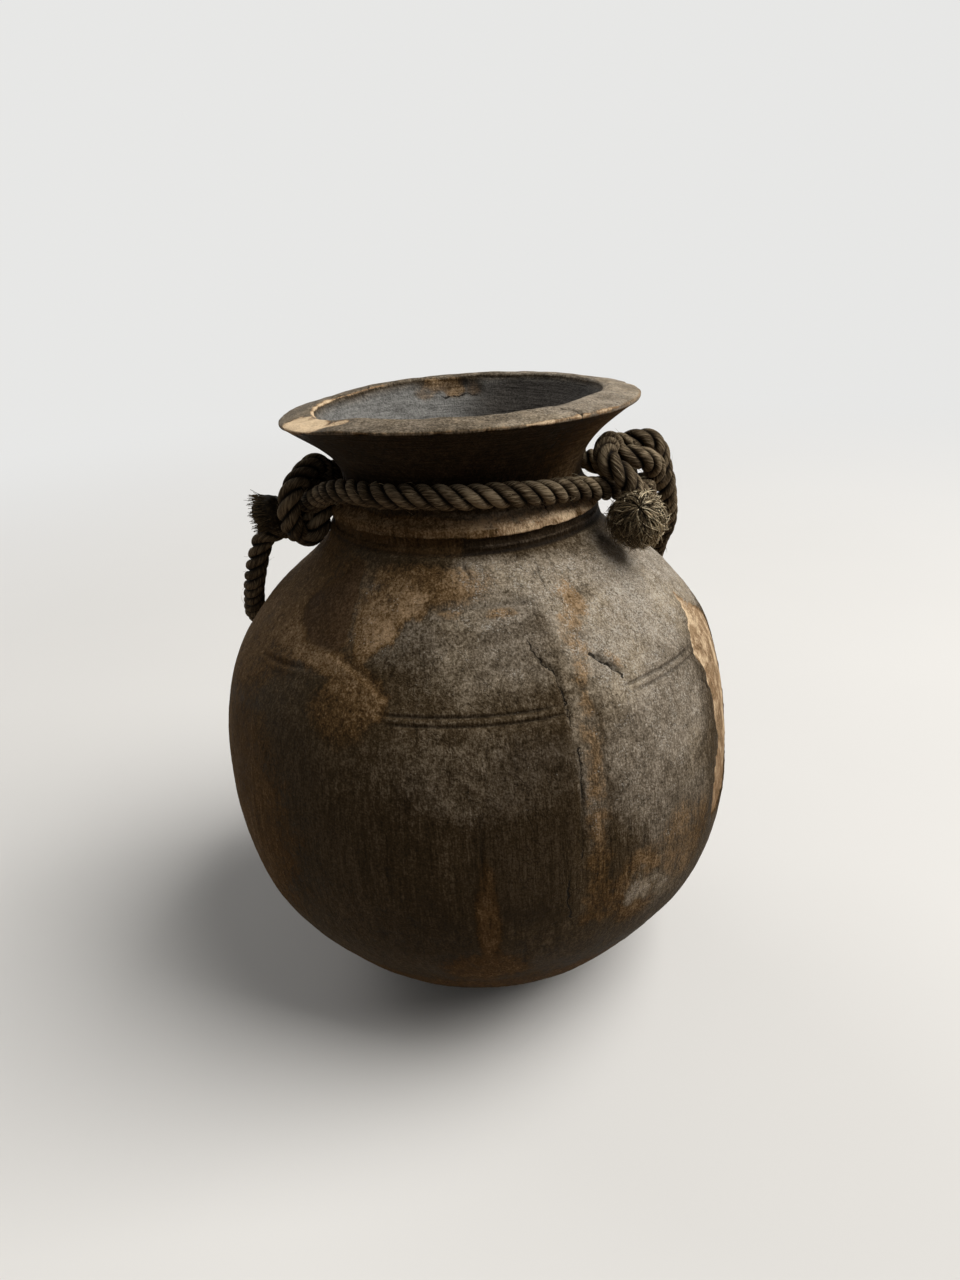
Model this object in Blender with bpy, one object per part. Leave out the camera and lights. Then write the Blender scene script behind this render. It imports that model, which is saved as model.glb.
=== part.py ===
"""Round-bellied turned wooden pot with a rope round its neck and a rope carry loop.

The pot stands on its flat foot with its axis on Z, and the origin is the middle of the foot.
The front of the pot faces -Y. One laid rope goes once round the neck, is knotted at both
sides, and hangs behind the pot as a loop that swings up over the mouth for carrying.
Lengths below are in millimetres.
"""

import math

import bmesh
import bpy
from mathutils import Vector

MM = 0.001

# The turned pot
FOOT_RADIUS = 40.0
BELLY_RADIUS = 113.0
BELLY_HEIGHT = 117.0
COLLAR_RADIUS = 57.0
COLLAR_HEIGHT = 224.0
NECK_RADIUS = 49.4
NECK_HEIGHT = 236.0
RIM_RADIUS = 73.0
RIM_HEIGHT = 266.5
MOUTH_RADIUS = 58.3
POT_HEIGHT = 269.8
THROAT_RADIUS = 41.0
INNER_BELLY_RADIUS = 102.8
FLOOR_THICKNESS = 13.0
POT_SIDES = 60
SPLINE_STEPS = 2

# The rope
ROPE_RADIUS = 5.0
ROPE_SIDES_RESOLUTION = 3
RING_RADIUS = NECK_RADIUS + ROPE_RADIUS + 2.0
SEAM_GAP = 0.3
ROPE_STEPS = 3
FRAYED_SIDES = 16

# Where the carry loop leaves the knots, which is also the line that it swings about
LEFT_PIVOT = Vector((-81.0, 10.0, 212.0))
RIGHT_PIVOT = Vector((72.0, 6.0, 242.0))
SWING_AXIS = (RIGHT_PIVOT - LEFT_PIVOT).normalized()
PIVOT_RUN = 3.2

# Where the back of the neck turn goes on into the left knot
BACK_SEAM = Vector((-53.5, 23.4, 233.4))
BACK_SEAM_WAY = Vector((-0.53, -0.84, 0.11)).normalized()

# Frayed ends: where they start, which way they point and their outline as (along, radius)
LEFT_END = Vector((-77.0, -1.5, 223.7))
LEFT_END_WAY = Vector((-0.99, 0.0, -0.08)).normalized()
LEFT_FRAY = ((0.0, 4.6), (3.5, 6.4), (8.0, 8.0), (11.2, 8.6), (12.6, 7.6), (13.2, 0.0))
RIGHT_END = Vector((66.2, -34.0, 225.6))
RIGHT_END_WAY = Vector((0.08, -0.74, -0.67)).normalized()
RIGHT_FRAY = ((0.0, 4.6), (2.5, 7.6), (6.0, 10.8), (9.5, 11.6), (12.5, 10.2), (14.4, 6.4), (15.0, 0.0))

WOOD = ("weathered_wood", (0.105, 0.082, 0.062), 0.78)
ROPE = ("rope_fibre", (0.085, 0.062, 0.040), 0.92)
FRAY = ("frayed_fibre", (0.150, 0.115, 0.072), 0.95)


def clear_scene():
    """Remove every object, so that the file holds only the pot."""
    for thing in list(bpy.data.objects):
        bpy.data.objects.remove(thing, do_unlink=True)


def make_material(finish):
    """A plain Principled material from a (name, colour, roughness) finish."""
    name, colour, roughness = finish
    material = bpy.data.materials.get(name)
    if material is None:
        material = bpy.data.materials.new(name)
        material.use_nodes = True
        shader = material.node_tree.nodes["Principled BSDF"]
        shader.inputs["Base Color"].default_value = (*colour, 1.0)
        shader.inputs["Roughness"].default_value = roughness
        shader.inputs["Metallic"].default_value = 0.0
    return material


def smooth_curve(points, steps):
    """A centripetal Catmull-Rom curve through the points, with steps pieces to each span."""
    route = [Vector(point) for point in points]
    route.insert(0, route[0] * 2 - route[1])
    route.append(route[-1] * 2 - route[-2])
    curve = []
    for before, start, end, after in zip(route, route[1:], route[2:], route[3:]):
        knots = [0.0]
        for near, far in ((before, start), (start, end), (end, after)):
            knots.append(knots[-1] + math.sqrt((far - near).length))
        for step in range(steps):
            t = knots[1] + (knots[2] - knots[1]) * step / steps
            spans = ((before, start, 0), (start, end, 1), (end, after, 2))
            first = [near.lerp(far, (t - knots[k]) / (knots[k + 1] - knots[k])) for near, far, k in spans]
            low = first[0].lerp(first[1], (t - knots[0]) / (knots[2] - knots[0]))
            high = first[1].lerp(first[2], (t - knots[1]) / (knots[3] - knots[1]))
            curve.append(low.lerp(high, (t - knots[1]) / (knots[2] - knots[1])))
    curve.append(route[-2])
    return curve


def least_gap(points, radius):
    """The least gap between stretches of one tube that are over three diameters apart along it."""
    along = [0.0]
    for near, far in zip(points, points[1:]):
        along.append(along[-1] + (far - near).length)
    gap = math.inf
    for i, first in enumerate(points):
        for j in range(i + 1, len(points)):
            if along[j] - along[i] > 6.0 * radius:
                gap = min(gap, (points[j] - first).length - 2.0 * radius)
    return gap


def rope_tube(name, points, origin=Vector()):
    """A round rope along the points, with flat ends and its own origin."""
    data = bpy.data.curves.new(name, "CURVE")
    data.dimensions = "3D"
    data.bevel_depth = ROPE_RADIUS * MM
    data.bevel_resolution = ROPE_SIDES_RESOLUTION
    data.use_fill_caps = True
    spline = data.splines.new("POLY")
    spline.points.add(len(points) - 1)
    for slot, point in zip(spline.points, points):
        slot.co = (*((point - origin) * MM), 1.0)
    data.materials.append(make_material(ROPE))
    rope = bpy.data.objects.new(name, data)
    rope.location = origin * MM
    bpy.context.collection.objects.link(rope)
    return rope


def turned_mesh(name, outline, sides, finish):
    """A closed solid turned about Z from an outline of (radius, height) that ends on the axis."""
    mesh = bpy.data.meshes.new(name)
    shape = bmesh.new()
    verts = [shape.verts.new((radius * MM, 0.0, height * MM)) for radius, height in outline]
    edges = [shape.edges.new(pair) for pair in zip(verts, verts[1:])]
    bmesh.ops.spin(
        shape,
        geom=verts + edges,
        axis=(0.0, 0.0, 1.0),
        cent=(0.0, 0.0, 0.0),
        angle=math.tau,
        steps=sides,
        use_merge=True,
    )
    bmesh.ops.remove_doubles(shape, verts=shape.verts, dist=0.01 * MM)
    bmesh.ops.recalc_face_normals(shape, faces=shape.faces)
    shape.to_mesh(mesh)
    shape.free()
    mesh.shade_smooth()
    mesh.set_sharp_from_angle(angle=math.radians(50.0))
    mesh.materials.append(make_material(finish))
    solid = bpy.data.objects.new(name, mesh)
    bpy.context.collection.objects.link(solid)
    return solid


def flatten_foot(pot):
    """Make the foot one flat face, so that the pot rests on a single plane."""
    shape = bmesh.new()
    shape.from_mesh(pot.data)
    foot = [face for face in shape.faces if face.normal.z < -0.99 and face.calc_center_median().z < MM]
    bmesh.ops.dissolve_faces(shape, faces=foot)
    shape.to_mesh(pot.data)
    shape.free()


def pot_outline():
    """The pot's turned outline: foot, belly, collar, neck, rim, then the hollow down to its floor."""
    belly = (
        (FOOT_RADIUS, 0.0),
        (63.5, 15.0),
        (77.0, 27.0),
        (91.4, 45.0),
        (105.7, 69.0),
        (112.0, 94.0),
        (BELLY_RADIUS, BELLY_HEIGHT),
        (109.8, 144.0),
        (102.0, 167.0),
        (87.5, 187.0),
        (72.0, 204.0),
        (58.5, 217.0),
    )
    collar = (
        (COLLAR_RADIUS - 1.2, COLLAR_HEIGHT - 5.4),
        (COLLAR_RADIUS - 0.6, COLLAR_HEIGHT - 1.2),
        (COLLAR_RADIUS, COLLAR_HEIGHT),
        (COLLAR_RADIUS - 1.2, COLLAR_HEIGHT + 2.2),
    )
    neck = (
        (NECK_RADIUS + 1.9, NECK_HEIGHT - 5.4),
        (NECK_RADIUS, NECK_HEIGHT),
        (52.0, 245.0),
        (58.4, 254.0),
        (RIM_RADIUS - 3.2, RIM_HEIGHT - 2.6),
    )
    lip = (
        (RIM_RADIUS - 0.5, RIM_HEIGHT - 0.9),
        (RIM_RADIUS, RIM_HEIGHT),
        (RIM_RADIUS - 1.0, RIM_HEIGHT + 0.9),
        (MOUTH_RADIUS + 2.0, POT_HEIGHT),
        (MOUTH_RADIUS, POT_HEIGHT - 0.7),
    )
    hollow = (
        (MOUTH_RADIUS - 1.4, POT_HEIGHT - 3.0),
        (48.6, 254.0),
        (THROAT_RADIUS + 1.2, 240.0),
        (THROAT_RADIUS + 0.4, 228.0),
        (49.0, 215.0),
        (62.5, 202.0),
        (79.0, 184.0),
        (94.0, 160.0),
        (INNER_BELLY_RADIUS, BELLY_HEIGHT),
        (100.6, 90.0),
        (91.0, 60.0),
        (75.0, 37.0),
        (54.0, 20.5),
        (28.0, FLOOR_THICKNESS + 0.6),
        (0.0, FLOOR_THICKNESS),
    )
    outline = [(0.0, 0.0)]
    for stretch, steps in ((belly, SPLINE_STEPS), (collar, 1), (neck, SPLINE_STEPS), (lip, 1), (hollow, 1)):
        route = [(radius, 0.0, height) for radius, height in stretch]
        outline.extend((point.x, point.z) for point in smooth_curve(route, steps))
    outline[-1] = (0.0, FLOOR_THICKNESS)
    return outline


def make_pot():
    """The pot, turned and hollowed from one block of wood."""
    pot = turned_mesh("pot_body", pot_outline(), POT_SIDES, WOOD)
    flatten_foot(pot)
    return pot


def on_ring(degrees, height, outward=0.0):
    """A point of the turn round the neck; 0 degrees is the front and 90 the right-hand side."""
    angle = math.radians(degrees)
    radius = RING_RADIUS + outward
    return (radius * math.sin(angle), -radius * math.cos(angle), height)


def make_neck_rope():
    """The turn round the neck, from the left frayed end by the front to the back of the left knot."""
    route = [
        LEFT_END - LEFT_END_WAY * PIVOT_RUN,
        (-66.5, -3.8, 226.4),
        (-60.0, -12.0, 230.0),
        (-53.5, -22.5, 235.5),
        on_ring(-55.0, 238.3),
        on_ring(-27.6, 240.5),
        on_ring(0.0, 241.0),
        on_ring(25.3, 238.7),
        on_ring(47.9, 235.0, 0.4),
        (53.0, -27.8, 232.0),
        (60.0, -21.0, 229.7),
        (66.5, -16.0, 228.0),
        (72.5, -9.5, 226.3),
        (75.0, -1.5, 225.3),
        (72.0, 7.0, 226.0),
        (63.5, 14.5, 229.0),
        (54.5, 22.5, 231.8),
        on_ring(129.6, 233.5, 0.3),
        on_ring(154.8, 234.5, 0.3),
        on_ring(180.0, 234.5, 0.3),
        on_ring(205.2, 234.5, 0.3),
        on_ring(230.4, 233.8, 0.3),
        BACK_SEAM - BACK_SEAM_WAY * PIVOT_RUN,
    ]
    points = smooth_curve(route, ROPE_STEPS)
    points.insert(0, LEFT_END)
    points.append(BACK_SEAM - BACK_SEAM_WAY * SEAM_GAP / 2)
    print(f"neck_rope least gap to itself {least_gap(points, ROPE_RADIUS):.1f} mm")
    return rope_tube("neck_rope", points)


def make_left_knot():
    """The left half knot: over the front rope, down its face, under it and out to the left."""
    route = [
        BACK_SEAM + BACK_SEAM_WAY * PIVOT_RUN,
        (-57.7, 12.5, 238.0),
        (-61.3, 3.0, 241.3),
        (-65.2, -6.0, 239.3),
        (-69.5, -13.6, 235.0),
        (-71.2, -15.8, 227.9),
        (-71.0, -12.7, 219.2),
        (-69.4, -5.0, 214.5),
        (-69.2, 1.6, 214.8),
        (-70.6, 6.0, 215.2),
        (-73.8, 9.0, 214.2),
        LEFT_PIVOT + SWING_AXIS * PIVOT_RUN,
    ]
    points = smooth_curve(route, ROPE_STEPS)
    points.insert(0, BACK_SEAM + BACK_SEAM_WAY * SEAM_GAP / 2)
    points.append(LEFT_PIVOT + SWING_AXIS * SEAM_GAP / 2)
    print(f"left_knot least gap to itself {least_gap(points, ROPE_RADIUS):.1f} mm")
    return rope_tube("left_knot", points)


def make_right_knot():
    """The right hitch: from the loop over the neck turn to the front, and down to its frayed end."""
    route = [
        RIGHT_PIVOT - SWING_AXIS * PIVOT_RUN,
        (65.6, 5.2, 241.1),
        (63.2, 2.8, 241.7),
        (61.6, -3.0, 243.9),
        (60.2, -9.0, 245.4),
        (57.6, -16.0, 245.2),
        (56.3, -22.5, 243.8),
        (57.0, -28.0, 241.9),
        (60.0, -31.0, 239.4),
        (62.9, -31.4, 236.4),
        (64.9, -30.8, 233.2),
        (65.8, -30.5, 230.3),
        RIGHT_END - RIGHT_END_WAY * PIVOT_RUN,
    ]
    points = smooth_curve(route, ROPE_STEPS)
    points.insert(0, RIGHT_PIVOT - SWING_AXIS * SEAM_GAP / 2)
    points.append(RIGHT_END)
    print(f"right_knot least gap to itself {least_gap(points, ROPE_RADIUS):.1f} mm")
    return rope_tube("right_knot", points)


def make_carry_rope():
    """The carry loop, from the left knot round the back of the belly to the right hitch."""
    route = [
        LEFT_PIVOT - SWING_AXIS * PIVOT_RUN,
        (-86.9, 10.3, 210.2),
        (-88.9, 10.9, 207.8),
        (-93.6, 13.0, 197.8),
        (-97.3, 18.0, 186.4),
        (-101.2, 27.0, 174.3),
        (-104.0, 40.0, 162.0),
        (-98.0, 59.0, 152.0),
        (-82.0, 81.0, 146.3),
        (-50.5, 104.3, 143.3),
        (0.0, 116.2, 142.5),
        (49.0, 105.3, 145.5),
        (76.0, 85.3, 152.3),
        (88.0, 68.0, 162.0),
        (90.8, 53.5, 173.5),
        (90.8, 40.0, 186.0),
        (91.4, 28.5, 197.7),
        (90.3, 19.0, 209.2),
        (87.6, 12.0, 220.3),
        (84.9, 8.0, 230.0),
        (83.3, 6.6, 236.9),
        (81.6, 6.0, 240.2),
        (78.7, 5.9, 242.3),
        RIGHT_PIVOT + SWING_AXIS * PIVOT_RUN,
    ]
    points = smooth_curve(route, ROPE_STEPS)
    points.insert(0, LEFT_PIVOT - SWING_AXIS * SEAM_GAP / 2)
    points.append(RIGHT_PIVOT + SWING_AXIS * SEAM_GAP / 2)
    length = sum((far - near).length for near, far in zip(points, points[1:]))
    print(f"carry_rope length {length:.0f} mm")
    return rope_tube("carry_rope", points, LEFT_PIVOT)


def make_frayed_end(name, start, way, outline):
    """A frayed rope end as a flared brush that starts just past the rope's cut face."""
    turned = [(0.0, 0.0)] + [(radius, along) for along, radius in outline]
    brush = turned_mesh(name, turned, FRAYED_SIDES, FRAY)
    brush.location = (start + way * SEAM_GAP) * MM
    brush.rotation_mode = "QUATERNION"
    brush.rotation_quaternion = way.to_track_quat("Z", "Y")
    return brush


def main():
    """Build the pot and its rope."""
    clear_scene()
    make_pot()
    make_neck_rope()
    make_left_knot()
    make_right_knot()
    make_carry_rope()
    make_frayed_end("left_frayed_end", LEFT_END, LEFT_END_WAY, LEFT_FRAY)
    make_frayed_end("right_frayed_end", RIGHT_END, RIGHT_END_WAY, RIGHT_FRAY)


main()
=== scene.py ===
"""Looks of an old turned wooden pot with a rope knotted round its neck.

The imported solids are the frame. The pot is turned again with its wear, cracks, score lines and
chips, the rope is laid from three strands along the same route, and its two ends are brushes of
loose fibres. Lengths are in millimetres. A turn is in degrees round the pot from its front,
positive to the right as the front is seen.
"""

import logging
import math
from dataclasses import dataclass
from enum import Enum
from typing import Sequence

import bpy
import numpy as np
from mathutils import Matrix, Vector, noise


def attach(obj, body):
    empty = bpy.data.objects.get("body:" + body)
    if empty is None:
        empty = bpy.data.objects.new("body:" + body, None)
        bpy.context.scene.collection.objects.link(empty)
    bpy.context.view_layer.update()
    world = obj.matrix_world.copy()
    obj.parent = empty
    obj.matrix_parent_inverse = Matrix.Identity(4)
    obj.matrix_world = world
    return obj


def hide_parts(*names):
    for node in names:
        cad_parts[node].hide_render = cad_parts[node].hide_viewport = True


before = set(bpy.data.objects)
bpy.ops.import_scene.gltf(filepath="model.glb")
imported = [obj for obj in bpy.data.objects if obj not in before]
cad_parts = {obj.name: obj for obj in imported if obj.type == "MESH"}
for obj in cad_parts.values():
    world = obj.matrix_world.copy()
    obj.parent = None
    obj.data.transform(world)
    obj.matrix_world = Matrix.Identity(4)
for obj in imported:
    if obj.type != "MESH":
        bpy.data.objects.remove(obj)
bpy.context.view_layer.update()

Array = np.ndarray
Piece = bpy.types.Object
Material = bpy.types.Material
Tree = bpy.types.NodeTree
Node = bpy.types.Node
Socket = bpy.types.NodeSocket

MM = 0.001
VECTOR = "NodeSocketVector"
VALUE = "NodeSocketFloat"
COLOUR_MIX_INPUTS = (0, 6, 7)
COLOUR_MIX_OUTPUT = 2
log = logging.getLogger("pot")


class Body(Enum):
    """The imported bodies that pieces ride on."""

    POT = "pot"
    LOOP = "carry_loop"


class Slot(Enum):
    """The record's material slots."""

    WOOD = "weathered_wood"
    ROPE = "rope_fibre"
    FRAY = "frayed_fibre"


def smooth_curve(points: Sequence[Sequence[float]], steps: int = 16) -> Array:
    """Draw a centripetal Catmull-Rom curve through some points.

    Args:
        points: The route's own points, of any dimension.
        steps: How many pieces each span is divided into.

    Returns:
        The curve's points, one a row, both ends kept.
    """
    route = np.array([tuple(point) for point in points], dtype=float)
    route = np.vstack([2 * route[0] - route[1], route, 2 * route[-1] - route[-2]])
    share = np.linspace(0.0, 1.0, steps, endpoint=False)[:, None]
    spans = []
    for before, start, end, after in zip(route, route[1:], route[2:], route[3:]):
        first = math.sqrt(np.linalg.norm(start - before))
        second = first + math.sqrt(np.linalg.norm(end - start))
        third = second + math.sqrt(np.linalg.norm(after - end))
        t = first + (second - first) * share
        a = before + (start - before) * t / first
        b = start + (end - start) * (t - first) / (second - first)
        c = end + (after - end) * (t - second) / (third - second)
        low = a + (b - a) * t / second
        high = b + (c - b) * (t - first) / (third - first)
        spans.append(low + (high - low) * (t - first) / (second - first))
    return np.vstack(spans + [route[-2:-1]])


def evenly(curve: Array, step: float) -> Array:
    """Space points evenly along a finely divided curve.

    Args:
        curve: The curve's points, one a row.
        step: About how far apart the new points are.

    Returns:
        The new points, both ends kept.
    """
    along = np.concatenate([[0.0], np.cumsum(np.linalg.norm(np.diff(curve, axis=0), axis=1))])
    marks = np.linspace(0.0, along[-1], max(2, round(along[-1] / step) + 1))
    return np.stack([np.interp(marks, along, column) for column in curve.T], axis=1)


def ease(low: float, high: float, values: Array) -> Array:
    """Rise smoothly from 0 at low to 1 at high, or fall where high is the smaller."""
    share = np.clip((values - low) / (high - low), 0.0, 1.0)
    return share * share * (3.0 - 2.0 * share)


def between(values: Array, start: float, full: float, fading: float, end: float) -> Array:
    """Rise smoothly from 0 at start to 1 at full, and fall from 1 at fading to 0 at end."""
    return ease(start, full, values) * ease(end, fading, values)


def rough(points: Array, size: float, octaves: int = 3, shift: float = 0.0) -> Array:
    """Give each point a fractal noise value of about -1 to 1.

    Args:
        points: Places in millimetres, one a row.
        size: The size of the largest lumps in millimetres.
        octaves: How many finer layers are added.
        shift: An offset that makes one noise unlike another.

    Returns:
        One value for each point.
    """
    moved = (points / size + shift).tolist()
    return np.array([noise.fractal(place, 1.0, 2.0, octaves) for place in moved])


def mesh_piece(name: str, points: Array, faces: list) -> Piece:
    """Make a smooth-shaded mesh object from points in millimetres.

    Args:
        name: The piece's name.
        points: Its vertices, one a row.
        faces: Its faces as vertex numbers.

    Returns:
        The new object, linked to the scene.
    """
    mesh = bpy.data.meshes.new(name)
    mesh.from_pydata((points * MM).tolist(), [], faces)
    mesh.shade_smooth()
    mesh.update()
    piece = bpy.data.objects.new(name, mesh)
    bpy.context.collection.objects.link(piece)
    return piece


def join(piece: Piece, *extras: Piece) -> None:
    """Join other meshes into a piece.

    Args:
        piece: The mesh object that stays.
        extras: The mesh objects that become part of it.
    """
    bpy.ops.object.select_all(action="DESELECT")
    for part in (piece, *extras):
        part.select_set(True)
    bpy.context.view_layer.objects.active = piece
    bpy.ops.object.join()


def paint(piece: Piece, name: str, *channels: Array) -> None:
    """Store up to three values for each vertex as a colour attribute.

    Args:
        piece: The mesh object.
        name: The attribute's name.
        channels: The red, green and blue values.
    """
    count = len(piece.data.vertices)
    colours = np.zeros((count, 4))
    colours[:, 3] = 1.0
    for index, channel in enumerate(channels):
        colours[:, index] = channel
    layer = piece.data.color_attributes.new(name, "FLOAT_COLOR", "POINT")
    layer.data.foreach_set("color", colours.ravel())


def settle(piece: Piece, body: Body, slot: Slot, *nodes: str) -> None:
    """Ride a piece on its body and hide the solids that it stands for.

    Args:
        piece: The piece.
        body: The body that it moves with.
        slot: Its material slot. It is not used.
        nodes: The solids that it replaces.
    """
    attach(piece, body.value)
    if nodes:
        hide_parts(*nodes)
    log.info("%s: %d faces on %s", piece.name, len(piece.data.polygons), body.value)


class NodeSheet:
    """A node tree with short calls that add a node and join it up."""

    def __init__(self, tree: Tree) -> None:
        """Work on the node tree of a material, a world or a group."""
        self.tree = tree

    def add(self, kind: str, settings: dict | None = None, **inputs: object) -> Node:
        """Add a node and fill its inputs.

        Args:
            kind: The node's type, without its ShaderNode part.
            settings: The node's own properties.
            inputs: Sockets to link or values to set, by input name with _ for a space.

        Returns:
            The new node.
        """
        node = self.tree.nodes.new("ShaderNode" + kind)
        for key, value in (settings or {}).items():
            setattr(node, key, value)
        self.fill(node, **inputs)
        return node

    def fill(self, node: Node, **inputs: object) -> None:
        """Fill a node's inputs, by input name with _ for a space."""
        for key, value in inputs.items():
            self.feed(node.inputs[key.replace("_", " ")], value)

    def feed(self, socket: Socket, value: object) -> None:
        """Link a socket to another, or set its value.

        Args:
            socket: The input to fill.
            value: The output to link it to, or a plain value.
        """
        if isinstance(value, Socket):
            self.tree.links.new(value, socket)
        else:
            socket.default_value = value

    def math(self, operation: str, *values: object, clamp: bool = False) -> Socket:
        """Add a Math node.

        Args:
            operation: The node's operation.
            values: Its inputs, in order.
            clamp: Whether the result stays within 0 to 1.

        Returns:
            The result's socket.
        """
        node = self.add("Math", {"operation": operation, "use_clamp": clamp})
        for socket, value in zip(node.inputs, values):
            self.feed(socket, value)
        return node.outputs[0]

    def times(self, first: object, second: object) -> Socket:
        """Multiply two values."""
        return self.math("MULTIPLY", first, second)

    def less(self, first: object, second: object) -> Socket:
        """Take the second value from the first."""
        return self.math("SUBTRACT", first, second)

    def weigh(self, *terms: tuple, shift: float = 0.0) -> Socket:
        """Add up values, each with its own weight.

        Args:
            terms: Pairs of a socket and its weight.
            shift: A number added to the sum.

        Returns:
            The sum's socket.
        """
        total = shift
        for value, weight in terms:
            total = self.math("MULTIPLY_ADD", value, weight, total)
        return total

    def blend(self, share: object, first: object, second: object, kind: str = "MIX") -> Socket:
        """Mix two colours.

        Args:
            share: How much of the second colour shows.
            first: The colour below.
            second: The colour above, as a socket or as red, green and blue.
            kind: The blend mode.

        Returns:
            The mixed colour's socket.
        """
        node = self.add("Mix", {"data_type": "RGBA", "blend_type": kind})
        for number, value in zip(COLOUR_MIX_INPUTS, (share, first, second)):
            self.feed(node.inputs[number], (*value, 1.0) if isinstance(value, tuple) else value)
        return node.outputs[COLOUR_MIX_OUTPUT]

    def step(self, value: object, low: float, high: float) -> Socket:
        """Rise smoothly from 0 at low to 1 at high."""
        smooth = {"interpolation_type": "SMOOTHSTEP"}
        return self.add("MapRange", smooth, Value=value, From_Min=low, From_Max=high).outputs[0]

    def ramp(self, value: object, *stops: tuple) -> Socket:
        """Turn a value into a colour.

        Args:
            value: The socket to read.
            stops: Pairs of a place from 0 to 1 and a colour.

        Returns:
            The colour's socket.
        """
        node = self.add("ValToRGB", Fac=value)
        elements = node.color_ramp.elements
        while len(elements) < len(stops):
            elements.new(0.5)
        for element, (place, colour) in zip(elements, stops):
            element.position = place
            element.color = (*colour, 1.0)
        return node.outputs[0]

    def vector(self, operation: str, *vectors: object, factor: object = None) -> Socket:
        """Add a Vector Math node.

        Args:
            operation: The node's operation.
            vectors: Its vectors, in order.
            factor: Its scale, where it takes one.

        Returns:
            The socket of the result, a value for a length or a dot product.
        """
        node = self.add("VectorMath", {"operation": operation})
        for socket, value in zip(node.inputs, vectors):
            self.feed(socket, value)
        if factor is not None:
            self.fill(node, Scale=factor)
        return node.outputs["Value" if operation in ("LENGTH", "DOT_PRODUCT") else "Vector"]

    def combine(self, x: object, y: object, z: object) -> Socket:
        """Make a vector of three values."""
        return self.add("CombineXYZ", X=x, Y=y, Z=z).outputs[0]

    def split(self, vector: object) -> Sequence[Socket]:
        """Take a vector apart into its three values."""
        return self.add("SeparateXYZ", Vector=vector).outputs

    def noise(self, vector: object, scale: object, detail: float = 3.0) -> Socket:
        """Add a noise texture and return its value's socket."""
        return self.add("TexNoise", Vector=vector, Scale=scale, Detail=detail).outputs[0]

    def place(self) -> Socket:
        """Give the place in the piece's own frame."""
        return self.add("TexCoord").outputs["Object"]

    def channels(self, attribute: str) -> Sequence[Socket]:
        """Read an attribute and return the sockets of its red, green and blue values."""
        colour = self.add("Attribute", {"attribute_name": attribute}).outputs["Color"]
        return self.add("SeparateColor", Color=colour).outputs

    def seen(self) -> Socket:
        """Give 1 for rays from the camera, a reflection or a see-through surface."""
        path = self.add("LightPath").outputs
        mirrored = self.math("MAXIMUM", path["Is Glossy Ray"], path["Is Transmission Ray"])
        return self.math("MAXIMUM", path["Is Camera Ray"], mirrored)

    def group(self, tree: Tree, **inputs: object) -> Socket:
        """Place a node group, fill its inputs and return its result's socket."""
        return self.add("Group", {"node_tree": tree}, **inputs).outputs[0]


def new_material(name: str) -> tuple[Material, NodeSheet, Node]:
    """Start a material.

    Args:
        name: The material's name.

    Returns:
        The material, a sheet on its tree and its Principled node.
    """
    material = bpy.data.materials.new(name)
    material.use_nodes = True
    return material, NodeSheet(material.node_tree), material.node_tree.nodes["Principled BSDF"]


def new_group(name: str, inputs: dict[str, str], output: str) -> tuple[Tree, NodeSheet, object, object]:
    """Start a shader node group that puts out one value.

    Args:
        name: The group's name.
        inputs: Socket types by input name.
        output: The name of the value that it puts out.

    Returns:
        The group's tree, a sheet on it, its input sockets and its result's sockets.
    """
    tree = bpy.data.node_groups.new(name, "ShaderNodeTree")
    for label, kind in inputs.items():
        tree.interface.new_socket(name=label, in_out="INPUT", socket_type=kind)
    tree.interface.new_socket(name=output, in_out="OUTPUT", socket_type=VALUE)
    start = tree.nodes.new("NodeGroupInput")
    end = tree.nodes.new("NodeGroupOutput")
    return tree, NodeSheet(tree), start.outputs, end.inputs


def streaks_group() -> Tree:
    """Make the group for long fine streaks, as in wood grain and in plant fibre.

    Returns:
        A group that stretches noise along its vector's first axis.
    """
    sockets = {"Vector": VECTOR, "Across": VALUE, "Along": VALUE}
    tree, sheet, given, result = new_group("fibre_streaks", sockets, "Streak")
    x, y, z = sheet.split(given["Vector"])
    across = given["Across"]
    along = sheet.times(x, given["Along"])
    stretched = sheet.combine(along, sheet.times(y, across), sheet.times(z, across))
    coarse = sheet.noise(stretched, 1.0, 2.0)
    fine = sheet.noise(stretched, 3.1, 2.0)
    sheet.feed(result[0], sheet.weigh((coarse, 0.6), (fine, 0.4)))
    return tree


def specks_group() -> Tree:
    """Make the group for small specks of dust and filled pores.

    Returns:
        A group that puts out a mask of specks.
    """
    sockets = {"Vector": VECTOR, "Scale": VALUE, "Share": VALUE}
    tree, sheet, given, result = new_group("dust_specks", sockets, "Specks")
    grains = sheet.noise(given["Vector"], given["Scale"], 4.0)
    drifts = sheet.noise(given["Vector"], sheet.times(given["Scale"], 0.13), 2.0)
    level = sheet.weigh((grains, 0.7), (drifts, 0.3))
    edge = sheet.weigh((given["Share"], -0.22), shift=0.70)
    sheet.feed(result[0], sheet.math("DIVIDE", sheet.less(level, edge), 0.09, clamp=True))
    return tree


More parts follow.
